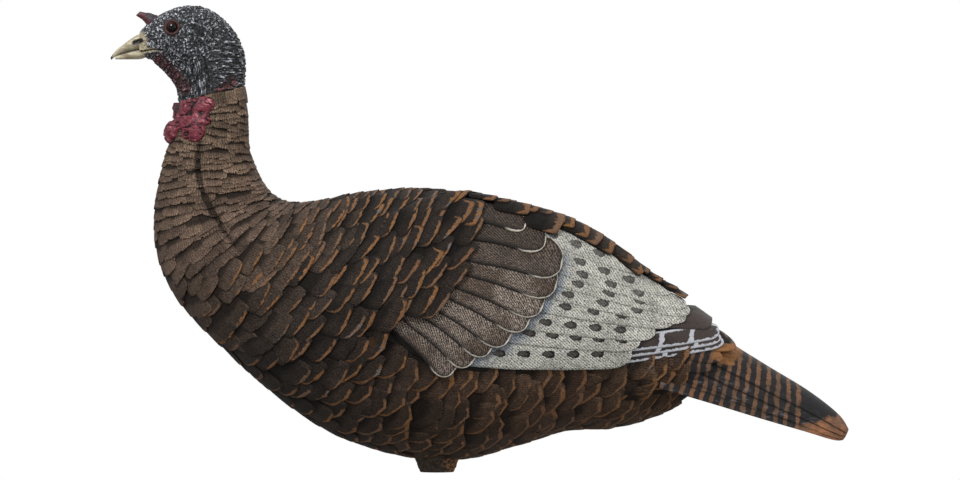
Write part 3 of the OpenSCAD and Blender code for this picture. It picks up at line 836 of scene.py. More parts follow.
def flesh_material():
    """Red caruncles: deep red with painted shade in the hollows, and a painted pink highlight on the lumps.
    """
    g = Graph("red_flesh", roughness=0.5, specular=0.45)
    speckle = g.noise(500.0, 4.0)
    # Painted shade and highlight: the flesh's height darkens its creases and hollows and turns its lumps
    # pink.
    level = g.add(g.times(g.attribute("relief"), 1.15), g.scale(speckle, *NOISE_RANGE, -0.45, 0.35))
    colour = g.mix(g.step(level, 0.1, 0.95), linear(24, 7, 11), linear(116, 39, 54))
    colour = g.mix(g.step(level, 1.12, 1.6), colour, linear(196, 132, 136))
    return g.finish(colour, g.bump(speckle, 0.0008, 0.8))


def snood_material():
    """The snood's skin: near black above, dull red below."""
    g = Graph("snood_flesh", roughness=0.5, specular=0.45)
    speckle = g.noise(450.0, 4.0)
    low = g.step(g.add(g.attribute("front"), g.scale(speckle, *NOISE_RANGE, -0.4, 0.4)), 0.0, 0.7)
    colour = g.mix(low, linear(44, 42, 46), linear(84, 40, 44))
    return g.finish(g.shade(colour, g.scale(speckle, *NOISE_RANGE, 0.5, 1.4)), g.bump(speckle, 0.0006, 0.8))


def beak_material():
    """Horn, darker in fine streaks, with a near-black tip and nostril."""
    g = Graph("beak_horn", roughness=0.45, specular=0.4)
    streak = g.noise(260.0, 4.0, g.stretched(0.3, 1.0, 1.0))
    colour = g.mix(g.step(streak, 0.3, 0.7), linear(138, 126, 100), linear(206, 197, 170))
    colour = g.shade(colour, g.waver(0.8, 1.15, 900.0))
    return g.finish(g.mix(g.attribute("dark"), colour, linear(22, 20, 18)), g.bump(streak, 0.0003, 0.6))


def eye_material():
    """Glossy eye: black pupil in a dark brown iris."""
    g = Graph("glossy_eye", roughness=0.06, specular=0.3)
    iris = g.times(g.step(g.attribute("ring"), 4.2, 4.8), g.invert(g.step(g.attribute("ring"), 6.0, 6.8)))
    brown = g.mix(g.step(g.noise(500.0), 0.4, 0.6), linear(40, 20, 12), linear(66, 34, 20))
    return g.finish(g.mix(iris, linear(6, 5, 5), brown))


def stock_material(name, colour, roughness=0.7, grain=600.0, bump=0.0002, metallic=0.0):
    """Moulded or turned stock with a fine grain."""
    g = Graph(name, roughness=roughness)
    g.shader.inputs["Metallic"].default_value = metallic
    rough = g.noise(grain, 4.0)
    return g.finish(g.shade(colour, g.scale(rough, *NOISE_RANGE, 0.75, 1.25)), g.bump(rough, bump, 0.5))


def boss_material():
    """Rough dark moulding with worn chestnut paint on its rear side."""
    g = Graph("boss_paint", roughness=0.9, specular=0.15)
    rough = g.noise(260.0, 5.0)
    x, _ = g.side_view()
    worn = g.step(g.add(x, g.scale(rough, *NOISE_RANGE, -14.0, 14.0)), 8.0, 20.0)
    colour = g.mix(worn, linear(66, 57, 49), linear(122, 88, 60))
    return g.finish(g.shade(colour, g.scale(rough, *NOISE_RANGE, 0.4, 1.5)), g.bump(rough, 0.0015, 1.0))


# --- Body feathers ---

NECK_GROOVE = [
    [-250, 356], [-253, 338], [-253, 322], [-250, 306], [-244, 290], [-236, 275], [-226, 259], [-212, 243],
]
GROOVE_DEPTH = 3.4
GROOVE_WIDTH = 4
GROOVE_SWELL = 1.8
CREASE_WIDTH = 2.3
# The part of a wing that no body feather covers, seen from the left, and how high the wing's feathers stand
WING_SHOWN = [
    [41, 281], [56, 251], [50, 232], [28, 202], [8, 178], [-22, 161], [-36, 151], [-30, 137],
    [-16, 127], [2, 115], [22, 107], [42, 112], [174, 112], [250, 125], [303, 137], [301, 149],
    [288, 161], [255, 183], [208, 210], [172, 237], [135, 250], [100, 261], [76, 270],
]
WING_RISE = 8.5
RIDGE_RISE = (9, 6.5)
# How far the back's feathers hang over that outline, where the ridge's feathers end (x), how high they ride
RIDGE_OVERHANG = 9
RIDGE_END = 268
RIDGE_LIFT = 1.5
# Past this place along the trunk, nothing nearer to the ridge than this angle lies on the body's own loft
REAR_START = 16.8
REAR_ANGLE = 60
# Feathers rooted before this place along the trunk stand up from the neck's edge
NECK_END = 0.3
# How much lighter the belly's ground is, in red, green and blue
BELLY_GLOW = np.array([0.75, 0.5, 0.3])
SHELL_WALL = 3


def groove(p):
    """Change of height at points p that draws the fold down the side of the neck."""
    dist, place = path_distance(p[..., 0], p[..., 2], NECK_GROOVE)
    fade = np.clip(np.sin(np.pi * np.clip(place * 0.96 + 0.04, 0, 1)) * 1.6, 0, 1)
    fade = fade * np.clip(np.abs(p[..., 1]) / 12 - 0.6, 0, 1)
    return (GROOVE_SWELL * bell(dist, 11, 7) - GROOVE_DEPTH * bell(dist, 0, GROOVE_WIDTH)) * fade


def wing_rise(u, v):
    """How high a feather must ride to lie over the wing at places (u, v)."""
    low, high = (np.interp(u, WING[:, 0], WING[:, k]) for k in (1, 2))
    v = -np.abs(v)
    crest = np.interp(u, [9.6, 11.4], [-36, -3])
    rise = smooth_step(u, 8.9, 10.4) * smooth_step(v, low - 12, low + 2) * smooth_step(crest - v, 0, 13)
    ridge_rise = np.interp(u, [13, 15.5], RIDGE_RISE)
    return rise * (WING_RISE + (ridge_rise - WING_RISE) * smooth_step(v, high - 10, high))


def lay_rows(table, u_from, u_to, pitch, width, rng):
    """Places for feathers in staggered rows round a loft: arrays u, v, row spacing and width."""
    places = []
    u, k = u_from, 0
    while u < u_to:
        ring = np.linspace(-180, 180, 361)
        p = skin(table, np.full(361, u), ring)
        arc = np.concatenate([[0], np.cumsum(np.linalg.norm(np.diff(p, axis=0), axis=1))])
        count = max(6, round(arc[-1] / width(u)))
        spots = (np.arange(count) + 0.5 * (k % 2) + rng.uniform(-0.16, 0.16, count)) / count % 1
        v = np.interp(spots * arc[-1], arc, ring)
        jitter = rng.uniform(-0.3, 0.3, count)
        du = pitch(u) / np.linalg.norm(slopes(table, np.array([u]), np.array([-90.0]))[0])
        spacing = du * np.linalg.norm(slopes(table, np.full(count, u), v)[0], axis=1)
        places += zip(np.clip(u + jitter * du, 0, None), v, spacing, np.full(count, arc[-1] / count))
        u += du
        k += 1
    return np.array(places).T


def blend_colours(x, stops, colours):
    """Linear colours along a row of stops."""
    table = np.array([linear(*c) for c in colours])
    return np.stack([np.interp(x, stops, table[:, i]) for i in range(3)], -1)


# Where body feathers are laid: [loft, from, to, size, nearest to the ridge and furthest from it in degrees]
REGIONS = (
    (BODY, 0, 18.6, 1, 0, 181),
    (WING_BED, 15.4, 18.7, 0.65, 0, 36),
    (WING_BED, 15.8, 17, 0.9, 55, 122),
)


def feather_beds(rng):
    """Where the contour feathers go: arrays u, v, width, length, and whether they lie on the wings' bed."""
    stops = [0, 3, 5, 7, 9, 14, 19]
    beds = []
    for table, u_from, u_to, size, nearest, furthest in REGIONS:
        u, v, spacing, width = lay_rows(
            table, u_from, u_to,
            lambda q: size * np.interp(q, stops, [5.5, 8, 11, 14, 16.5, 18, 15]),
            lambda q: size * np.interp(q, stops, [11, 15, 22, 26, 27, 28, 20]), rng)
        length = np.clip(spacing, 6, 34) * 2.3 * rng.uniform(0.9, 1.15, len(u))
        tip = skin(table, u, v) + unit(slopes(table, u, v)[0]) * length[:, None]
        off_ridge = np.abs(v)
        overhang = RIDGE_OVERHANG * (off_ridge < 55) * (table is BODY)
        keep = ~inside_polygon(tip[:, 0], tip[:, 2] - overhang, WING_SHOWN) & (tip[:, 0] < RIDGE_END)
        keep &= (off_ridge >= nearest) & (off_ridge < furthest)
        keep &= (table is WING_BED) | (u < REAR_START) | (off_ridge > REAR_ANGLE)
        rear = np.full(len(u), table is WING_BED)
        beds.append(np.stack([u, v, width, length, rear])[:, keep])
    return np.concatenate(beds, 1)


def feather_paint(u, v, belly, ridge, rng):
    """Each feather's ground colour, the colour of its stroke and the stroke's width."""
    n = len(u)
    tone = blend_colours(
        u + rng.uniform(-0.7, 0.7, n), [0, 3, 5, 6.5, 8, 10, 14, 19],
        [(92, 77, 64), (91, 75, 63), (85, 70, 60), (70, 58, 49),
         (45, 38, 33), (37, 31, 27), (48, 39, 32), (48, 39, 31)])
    tone *= rng.uniform(0.75, 1.25, n)[:, None] * (1 + belly[:, None] * BELLY_GLOW)
    edge = blend_colours(rng.uniform(0, 1, n), [0, 0.5, 1], [(120, 86, 62), (136, 96, 60), (116, 90, 72)])
    band = np.interp(u + rng.uniform(-0.6, 0.6, n), [5.2, 6.8, 9, 14, 19], [0, 3, 4.2, 5, 4])
    plain = noise(skin(BODY, u, v), 60, 3)
    band *= rng.uniform(0.75, 1.2, n) * smooth_step(plain, -0.95, -0.55) * (rng.uniform(0, 1, n) > 0.05)
    band = 0.85 * band * (1 - ridge) + 9 * ridge * rng.uniform(0.75, 1, n)
    return tone, edge, band


def body_feathers(material):
    """The contour feathers of neck, breast, flanks and back, in pieces by region and side."""
    rng = np.random.default_rng(7)
    u, v, width, length, rear = feather_beds(rng)
    belly = smooth_step(np.abs(v), 78, 104) * smooth_step(u, 8.5, 11)
    ridge = smooth_step(-np.abs(v), -50, -30) * smooth_step(u, 10, 12)
    blunt = np.interp(u, [0, 5], [3.4, 5])
    lean = np.interp(u, [5, 9, 12], [0, 0.3, 0.45]) * (1 - belly) * (1 - ridge)
    tone, edge, band = feather_paint(u, v, belly, ridge, rng)
    tables = [BODY, BODY, BODY, BODY, WING_BED]
    region = np.where(rear > 0, len(tables) - 1, np.digitize(u, [4.6, 8, 11]))
    for side, sign in SIDES:
        for number, table in enumerate(tables):
            mine = ((v < 0) if sign < 0 else (v >= 0)) & (region == number)
            count = mine.sum()
            at, low = u[mine], belly[mine]
            cards = Feathers(count, length[mine], width[mine] * 1.45, blunt=blunt[mine], shoulder=0.72,
                             skew=rng.uniform(-0.12, 0.12, count) + lean[mine] * sign, ragged=1.0,
                             cols=15 if number < 2 else 7, rows=12)
            # on the belly the feather's lower side is drawn back, which slants its tip
            cards.reach = cards.reach - 0.7 * low[:, None, None] * np.maximum(-sign * cards.offset, 0)
            cards.walk(table, at, v[mine], turn=rng.uniform(-7, 7, count))
            lift = np.interp(at, [0, 5, 9], [2.0, 2.2, 2.4]) * rng.uniform(0.8, 1.3, count)
            cards.lift(lift, dome=0.35, sink=np.where(at < NECK_END, -0.6, 0.8))
            cards.height += groove(cards.base) + RIDGE_LIFT * (table is WING_BED)
            over = (np.abs(v[mine]) < np.interp(at, [11, 12.5, 14], [108, 92, 60]))[:, None, None]
            rise = wing_rise(cards.u, cards.v)
            cards.height += np.where(over, rise, -0.15 * rise)
            to_groove, _ = path_distance(cards.base[..., 0], cards.base[..., 2], NECK_GROOVE)
            # for the material, t is +1 on the lower side, on the left and on the right
            cards.t = -sign * cards.t
            # for painted shade along the neck's fold
            crease = bell(to_groove, 0, CREASE_WIDTH)
            name = f"body_feathers_{side}_{number}"
            made = cards.build(name, "decoy_body", values={"crease": crease}, per_feather={
                "tone": tone[mine],
                "edge": edge[mine],
                "band": band[mine],
                "band_at": rng.uniform(-0.2, 0.2, count) + 0.25 * low,
                "band_reach": 0.86 + 0.24 * ridge[mine] + 0.05 * low,
                # how dark that painted shade below the covering feathers gets; none at the neck's edge
                "gap": np.where(at < NECK_END, 1, np.interp(at, [4, 8], [0.2, 0.3])),
                "hatch": np.interp(at, [4, 8, 12], [0.7, 0.25, 0.6]),
            })
            dress(made, material)


def base_skin(material):
    """The closed half shells under the feathers."""
    us, vs = np.linspace(0, len(BODY) - 1, 160), np.linspace(-180, 0, 90)
    u, v = np.meshgrid(us, vs, indexing="ij")
    outer = skin(BODY, u, v)
    normal = slopes(BODY, u, v)[2]
    outer = outer + normal * (np.minimum(groove(outer), 0) * 1.3 - 0.5)[..., None]
    inner = outer - normal * SHELL_WALL
    outer[:, [0, -1], 1] = 0
    inner[:, [0, -1], 1] = 0
    for side, sign in SIDES:
        made = slab(f"shell_{side}", on_side(outer, sign), on_side(inner, sign), "decoy_body")
        dress(made, material, f"body_shell_{side}")


# --- Wings ---

# Coverts, top to bottom: [tip x, tip z, direction down from level, length, width]
COVERTS = np.array([
    [93, 257, 14, 76, 24],
    [114, 241, 13, 100, 36],
    [131, 219, 13, 115, 46],
    [125, 197, 18, 120, 46],
    [111, 176, 23, 116, 44],
    [96, 159, 28, 112, 42],
    [76, 143, 33, 106, 42],
    [57, 132, 37, 96, 40],
    [38, 120, 41, 88, 38],
    [18, 110, 45, 78, 36],
])
# Secondaries, bottom to top:
# [root x, root z, tip x, tip z, width, first spot's distance from the tip, spots' pitch, spots' shift across]
SECONDARIES = np.array([
    [22, 130, 205, 129, 32, 30, 25.7, 0],
    [40, 156, 214, 141, 26, 14, 24.2, 0],
    [60, 168, 230, 149, 21, 32, 26, 0],
    [80, 186, 250, 160, 21, 21, 29.8, 0],
    [85, 203, 262, 162, 19, 47, 37, 1],
    [85, 219, 266, 168, 18, 49, 33.6, 1],
    [85, 234, 262, 174, 17, 47, 31, 1],
    [90, 246, 246, 188, 17, 42, 27, 1],
    [95, 260, 215, 214, 20, 42, 26, 0],
])
# Primaries, bottom to top:
# [root x, root z, tip x, tip z, width, first bar's distance from the tip, bars' pitch, 1 for a white edge]
PRIMARIES = np.array([
    [130, 116, 303, 139, 13, 60, 40, 1],
    [150, 125, 300, 143, 13, 24, 40, 1],
    [178, 136, 298, 150, 17, 27, 32, 1],
    [205, 170, 291, 162, 24, 300, 40, 0],
])
COVERT_SHADOW = 11
SPOT_LENGTH = 14
SPOT_WIDTH = 7.5
# Heights over the wings' bed: the panel's underside, the outer face at its edges and at its middle
PANEL_SEAT = 0.6
PANEL_EDGE = 1.1
PANEL_TOP = 1.5


def wing_panels(material):
    """The closed panels under the wings' feathers."""
    us, across = np.linspace(0, len(WING) - 1, 70), np.linspace(0, 1, 24)
    rows = row_at(WING, us)
    u = np.broadcast_to(rows[:, :1], (len(us), len(across)))
    v = rows[:, 1:2] + (rows[:, 2:3] - rows[:, 1:2]) * across
    bed, normal = skin(WING_BED, u, v), slopes(WING_BED, u, v)[2]
    swell = PANEL_EDGE + (PANEL_TOP - PANEL_EDGE) * np.sin(np.pi * across) ** 0.35
    outer, inner = bed + normal * swell[None, :, None], bed + normal * PANEL_SEAT
    for side, sign in SIDES:
        made = slab(f"wing_panel_{side}", on_side(outer, sign), on_side(inner, sign), "decoy_body")
        dress(made, material, f"wing_{side}")


def wing_layer(name, material, cards, **data):
    """Makes one group of wing feathers for both sides."""
    for side, sign in SIDES:
        dress(cards.build(f"{name}_{side}", "decoy_body", sign, **data), material)


def laid_feathers(table, sag, **form):
    """Feathers on the wings' bed from a table's columns [root x, root z, tip x, tip z, width]."""
    root, tip = table[:, 0:2], table[:, 2:4]
    cards = Feathers(len(table), np.hypot(*(tip - root).T), table[:, 4], **form)
    return cards.project(WING_BED, root, tip, sag)


def wing_feathers():
    """Primaries, secondaries and coverts, laid from the lowest to the highest."""
    order = np.arange(len(PRIMARIES))
    cards = laid_feathers(PRIMARIES, 1, blunt=2.4, shoulder=0.9, rows=60, cols=13, skirt=1.4)
    cards.lift(0.6, sink=0, dome=0.5, raise_by=1.9 + 0.4 * order, tilt=0.3)
    wing_layer("primaries", primary_material(), cards, per_feather={
        "phase": PRIMARIES[:, 5], "pitch": PRIMARIES[:, 6], "edged": PRIMARIES[:, 7]})

    order = np.arange(len(SECONDARIES))
    cards = laid_feathers(SECONDARIES, 1.5, blunt=2.4, shoulder=0.84, rows=70, cols=13, skirt=1.4)
    cards.lift(0.3, sink=0, dome=0.4, raise_by=3.6 + 0.3 * order, tilt=0.4)
    near, _ = path_distance(cards.base[..., 0], cards.base[..., 2], COVERTS[:, :2])
    shadow = np.exp(-near / COVERT_SHADOW)
    wing_layer("secondaries", secondary_material(), cards, values={"shadow": shadow}, per_feather={
        "phase": SECONDARIES[:, 5], "pitch": SECONDARIES[:, 6],
        "spotted": np.linspace(1, 0.8, len(order)), "spot_at": SECONDARIES[:, 7]})

    order = np.arange(len(COVERTS))
    tip, heading, length = COVERTS[:, :2], np.radians(COVERTS[:, 2]), COVERTS[:, 3:4]
    root = tip - np.stack([np.cos(heading), -np.sin(heading)], -1) * length
    rows = np.hstack([root, tip, COVERTS[:, 4:]])
    cards = laid_feathers(rows, -5, blunt=2.3, shoulder=0.74, rows=48, cols=21, skirt=1.8)
    cards.lift(1.0, sink=3, dome=0.5, raise_by=4.6 + 0.35 * order[::-1], tilt=1.1)
    # Each covert's share of painted highlight: little on the upper ones, which are darker.
    wing_layer("coverts", covert_material(), cards, per_feather={
        "painted_sheen": np.interp(order, [0, 1.5, 3.5, 9], [0, 0.1, 0.9, 0.7])})


# --- Tail ---

TAIL_THICKNESS = 4
# Where the stacked vanes' lower edges run, as angles round the tail, and how high each stands
TAIL_VANES = [-92, -84, -74, -60, 0]
VANE_RISE = 1.6
# Tail coverts: [root x, root z, tip x, tip z, width]
TAIL_COVERTS = np.array([
    [196, 112, 262, 99, 24],
    [205, 120, 280, 104, 26],
    [215, 130, 292, 112, 26],
    [225, 142, 303, 122, 26],
    [235, 155, 318, 134, 26],
    [240, 150, 300, 136, 22],
])


def tail_fan(material):
    """The folded fan as one closed arch, with the edges of its stacked vanes along each side."""
    edge = -TAIL_VANES[0]
    us, vs = np.linspace(0, len(TAIL) - 1, 200), np.linspace(-edge, edge, 221)
    u, v = np.meshgrid(us, vs, indexing="ij")
    arch, normal = skin(TAIL, u, v), slopes(TAIL, u, v)[2]
    rise, gap = np.zeros(u.shape), np.zeros(u.shape)
    bend = 3 * np.sin(u * 0.9)
    for low, high in zip(TAIL_VANES, TAIL_VANES[1:]):
        place = (-np.abs(v) - low - bend * (low > -edge)) / (high - low)
        inside = (place >= 0) & (place < 1)
        rise = np.where(inside, VANE_RISE * (1 - place) ** 2, rise)
        # painted shade on each vane just under the next vane's raised edge
        gap = np.where(inside, smooth_step(place, 0.78, 0.98) * (high < 0), gap)
    flat = smooth_step(u, 0.1, 0.8) * smooth_step(len(TAIL) - 1 - u, 0, 0.5)
    outer = arch + normal * (rise * flat)[..., None]
    made = slab("tail_fan_vanes", outer, arch - normal * TAIL_THICKNESS, "decoy_body",
                values={"fan": v, "step_gap": gap * flat})
    dress(made, material, "tail_fan")
    cards = laid_feathers(TAIL_COVERTS, -2, blunt=1.7, shoulder=0.6, rows=30, cols=13, skirt=1.2)
    cards.lift(-1.2, sink=-0.5, dome=0.8, raise_by=0.6 + 0.2 * np.arange(len(TAIL_COVERTS)), tilt=0.3)
    plain = np.zeros(cards.height.shape)
    values = {"fan": plain, "step_gap": plain}
    for side, sign in SIDES:
        made = cards.build(f"tail_coverts_{side}", "decoy_body", sign, values)
        dress(made, material)


# --- Head ---

EYE = np.array([-281, -18.5, 473])
EYE_RADIUS = 8.5
LID_RADIUS = 7.3
LID_THICKNESS = 1.5
EAR = [[-256, 474], [-249, 466]]
MOUTH = [[-349, 441], [-324, 447], [-301, 450], [-290, 448]]
THROAT_RED = [[-296, 438], [-282, 424], [-268, 409]]
NAPE_RED = [[-238, 398], [-229, 407], [-217, 416]]
NOSTRIL = [[-322, 457.5], [-315, 460]]
FOLD_PITCH = 6.5
# Added to the distance from the eye near the middle of the head, so that only the sides have a socket
EYE_ONLY_AT_SIDE = 60


def wrinkles(p, face, nape, folds, beads):
    """How high the skin's wrinkles stand at points p, 0 to 1. Each part of the head has its own grain."""
    plain = np.clip(1 - nape - folds - beads, 0.15, 1)
    warp = p + 1.8 * np.stack([noise(p, 6, seed) for seed in (11, 12, 13)], -1)
    fields = (
        (plain * (1 - 0.75 * face), [2.0, 2.0, 1.6]),
        (face * 0.9, [1.3, 1.3, 1.5]),
        (nape * 1.2, [4.5, 4.5, 1.35]),
        (folds * 1.2, [1.5, 1.5, 6]),
        (beads, [3.6, 3.6, 3.6]),
    )
    pattern = 0
    for seed, (weight, size) in enumerate(fields, 1):
        pattern = pattern + weight * (noise(warp, size, seed) + 0.35 * noise(p, 1.1, seed + 20))
    return smooth_step(pattern, -0.2, 0.5)


def head_skin(material):
    """The head's wrinkled skin, closed and hollow from the neck up, as the CAD's."""
    us, vs = np.linspace(0, len(HEAD) - 1, 236), np.linspace(-180, 180, 379)[:-1]
    u, v = np.meshgrid(us, vs, indexing="ij")
    p, normal = skin(HEAD, u, v), slopes(HEAD, u, v)[2]
    x, z = p[..., 0], p[..., 2]
    side = np.abs(p[..., 1])
    face = smooth_step(-x, 255, 285) * smooth_step(z, 430, 450)
    nape = smooth_step(x, -250, -222) * smooth_step(-z, -478, -450)
    folds = smooth_step(-z, -445, -428) * smooth_step(-x, 230, 250) * smooth_step(x, -275, -262)
    beads = smooth_step(-z, -412, -402) * smooth_step(-x, 235, 250)
    relief = wrinkles(p, face, nape, folds, beads)

    to_eye = np.hypot(x - EYE[0], z - EYE[2]) + EYE_ONLY_AT_SIDE * (side < 8)
    to_ear, to_mouth, to_nostril, to_throat, to_nape = (
        path_distance(x, z, path)[0] for path in (EAR, MOUTH, NOSTRIL, THROAT_RED, NAPE_RED))
    gape = smooth_step(-x, 286, 294) * (side > 3)
    height = (relief - 0.5) * 1.3 * (0.3 + 0.7 * smooth_step(to_eye, 8, 12)) * (1 + 0.8 * beads)
    height += 1.2 * bell(to_eye, 12, 2.2) - 2.6 * smooth_step(-to_eye, -7.6, -6.2)
    height += 1.3 * bell(to_ear, 8, 2.5) - 2.6 * bell(to_ear, 0, 4)
    height += 1.6 * folds * np.sin((x + 0.25 * z) * 2 * np.pi / FOLD_PITCH)
    height += gape * (0.8 * bell(to_mouth, 2, 1.4) - 1.6 * bell(to_mouth, 0, 0.9))
    height *= smooth_step(u, 0, 0.25) * smooth_step(len(HEAD) - 1 - u, 0, 0.3)

    red = np.maximum(bell(to_throat, 0, 8, 4), 0.9 * bell(to_nape, 0, 5.5, 4))
    red = np.clip(red * (1 + noise(p, 3, 9) * 0.7), 0, 1)
    lips = gape * bell(to_mouth, 0, 0.5 + 2.5 * smooth_step(-x, 290, 312), 6)
    cere = smooth_step(-x + 2.5 * noise(p, 4, 14) - 0.25 * (z - 455), 305, 312)
    cere = cere * smooth_step(-z, -472, -466) * smooth_step(z, 446, 449)
    dark = bell(to_nostril, 0, 3, 6) * (side > 3) + gape * bell(to_mouth, 0, 0.8)
    dark = np.clip(dark + smooth_step(-to_eye, -11, -8) + bell(to_ear, 0, 3.2, 4), 0, 1)
    inner = (p - normal * HEAD_WALL)[us <= HEAD_HOLLOW][::8]
    # relief, the wrinkles' height, gives the material painted shade in their hollows and painted highlight on
    # their crests
    made = tube("head_wrinkles", p + normal * height[..., None], "head", inner, {
        "relief": relief + 0.35 * face - 0.12,
        "red": red,
        "horn": np.maximum(lips, cere),
        "dark": dark,
        "nape": nape * (1 - folds),
        "folds": folds,
    })
    dress(made, material, "head_skin")


def eyes(glossy, lid_material):
    """Eye balls with a swollen lid round each, laid on the head's skin."""
    around, over = np.linspace(0, 2 * np.pi, 65)[:-1], np.linspace(0, 2 * np.pi, 17)[:-1]
    turns = np.linspace(0, np.pi, 41)[1:-1, None]
    ball = np.stack(np.broadcast_arrays(
        np.sin(turns) * np.cos(around), -np.cos(turns), np.sin(turns) * np.sin(around)), -1)
    ring = np.hypot(ball[..., 0], ball[..., 2]) * EYE_RADIUS + 2 * EYE_RADIUS * (ball[..., 1] > 0)
    u, v = locate(HEAD, EYE[0] + LID_RADIUS * np.cos(around), EYE[2] + LID_RADIUS * 0.95 * np.sin(around))
    edge, out = skin(HEAD, u, v), unit(slopes(HEAD, u, v)[2])
    away = unit(edge - edge.mean(0))
    thick = (LID_THICKNESS * (1 + 0.18 * np.sin(5 * around + 1)))[:, None, None]
    lid = edge[:, None] + away[:, None] * thick * np.cos(over)[:, None]
    lid = lid + out[:, None] * thick * np.sin(over)[:, None]
    wrap = grid_quads(len(around) + 1, len(over), wrapped=True) % (len(around) * len(over))
    for side, sign in SIDES:
        made = tube(f"eye_ball_{side}", on_side(EYE + ball * EYE_RADIUS, sign), "head", values={"ring": ring})
        dress(made, glossy, f"eye_{side}")
        made = make_mesh(f"eye_lid_{side}", on_side(lid, sign).reshape(-1, 3), wrap.tolist(), "head")
        dress(made, lid_material)


def dense_loft(name, table, shape, values, rows=60, columns=72):
    """A closed loft on the head whose points are moved out by shape(p), with values(p) as its attributes."""
    us, vs = np.linspace(0, len(table) - 1, rows), np.linspace(-180, 180, columns + 1)[:-1]
    u, v = np.meshgrid(us, vs, indexing="ij")
    p, normal = skin(table, u, v), slopes(table, u, v)[2]
    fade = smooth_step(len(table) - 1 - u, 0, 0.4)
    p = p + normal * (shape(p) * fade)[..., None]
    return tube(name, p, "head", values={key: make(p) for key, make in values.items()})


def beak(material):
    """Both halves of the beak, with a nostril on each side and a dark tip."""

    def to_nostril(p):
        return path_distance(p[..., 0], p[..., 2], NOSTRIL)[0]

    def upper_shape(p):
        hole = to_nostril(p)
        return 0.7 * bell(hole, 3.2, 1.2) - 1.6 * bell(hole, 0, 1.8, 4) + 0.15 * noise(p, 2.5, 5)

    def upper_dark(p):
        side = np.abs(p[..., 1]) > 2
        return np.clip(bell(to_nostril(p), 0, 3, 6) * side + smooth_step(-p[..., 0], 344.5, 347), 0, 1)

    def lower_shape(p):
        return 0.12 * noise(p, 2.5, 6)

    def lower_dark(p):
        lip = np.interp(p[..., 0], [-343, -315], [442.6, 449.6])
        return 0.9 * smooth_step(p[..., 2], lip, lip + 1.2)

    upper = dense_loft("beak_upper_horn", BEAK_UPPER, upper_shape, {"dark": upper_dark})
    dress(upper, material, "beak_upper")
    lower = dense_loft("beak_lower_horn", BEAK_LOWER, lower_shape, {"dark": lower_dark})
    dress(lower, material, "beak_lower")


def snood(material):
    """The fleshy horn over the beak."""

    def lumps(p):
        return 0.5 * noise(p, 3, 8) + 0.25 * noise(p, 1.4, 9)

    def front(p):
        return smooth_step(-p[..., 0] - 0.6 * p[..., 2], 14, 24)

    made = dense_loft("snood_flesh", SNOOD, lumps, {"front": front}, 40, 48)
    dress(made, material, "snood")


def caruncles(material):
    """Lumpy red flesh round the front of the neck."""
    us, ts = np.linspace(*CARUNCLE_SPAN, 150), np.linspace(0, 1, 230)
    u = np.broadcast_to(us[:, None], (len(us), len(ts)))
    v = np.broadcast_to(CARUNCLE_ARC[0] + (CARUNCLE_ARC[1] - CARUNCLE_ARC[0]) * ts, u.shape)
    p, normal = skin(BODY, u, v), slopes(BODY, u, v)[2]
    warp = p + 1.2 * np.stack([noise(p, 5, seed) for seed in (31, 32, 33)], -1)
    swell = np.zeros(u.shape)
    for x, z, radius, height in CARUNCLE_LOBES:
        centre = skin(BODY, *locate(BODY[:5], np.array(float(x)), np.array(float(z))))
        for _, sign in SIDES:
            away = np.linalg.norm(warp - on_side(centre, sign), axis=-1) / radius
            swell += (height * np.sqrt(np.clip(1 - away ** 2, 0, None))) ** 4
    swell = swell ** 0.25
    crease = bell(noise(warp, 6.5, 36), 0, 0.14)
    lumps = 0.6 * noise(warp, 3.4, 34) + 0.4 * noise(p, 1.7, 35)
    there = smooth_step(swell, 0.2, 2.5)
    outer = p + normal * (0.3 + swell + (0.9 + lumps - 1.6 * crease) * there)[..., None]
    # relief is how high the flesh stands; the material turns it into painted shade in the creases and hollows
    # and a painted highlight on the lumps
    made = slab("caruncle_flesh", outer, p + normal * 0.1, "decoy_body",
                values={"relief": 0.3 + 0.75 * lumps + 0.5 * there - 0.5 * (1 - there) - 0.6 * crease})
    dress(made, material, "neck_caruncles")


# The block under the belly, as [radius, height]: its outside, then the bearing's bore as the CAD has it
BOSS_OUTSIDE = [
    (11.6, 0), (17.5, 0), (18.5, 1), (21, 8), (24, 15), (24.5, 22), (27, 29), (32, 30), (32, 33), (13, 33),
]
BOSS_BORE = [(13, 22), (11.3, 22), (11.3, 3.7), (11.6, 3.7)]
BOSS_GRAIN = 1.2


def boss(material):
    """The block under the belly: a rough outside round the CAD's bearing bore."""
    profile = []
    loop = BOSS_OUTSIDE + BOSS_BORE
    for (r0, z0), (r1, z1) in zip(loop, loop[1:] + loop[:1]):
        steps = max(2, round(math.hypot(r1 - r0, z1 - z0) / BOSS_GRAIN))
        profile += [(r0 + (r1 - r0) * k / steps, z0 + (z1 - z0) * k / steps) for k in range(steps)]
    r, z = np.array(profile).T[..., None]
    a = np.linspace(0, 2 * np.pi, 121)[:-1]
    p = np.stack([r * np.cos(a), r * np.sin(a), z * np.ones(a.shape)], -1)
    rough = smooth_step(r, 15, 18) * smooth_step(z, 0.2, 3)
    push = (0.7 * noise(p, 4, 41) + 0.5 * noise(p, 2, 42)) * rough
    p[..., 0] += push * np.cos(a)
    p[..., 1] += push * np.sin(a)
    m, n = p.shape[:2]
    faces = grid_quads(m + 1, n, wrapped=True) % (m * n)
    made = make_mesh("boss_block", p.reshape(-1, 3), faces.tolist(), "decoy_body")
    dress(made, material, "stake_boss")


# --- Stage ---

SKY_LIGHT = 0.75
GROUND_LIGHT = 0.3
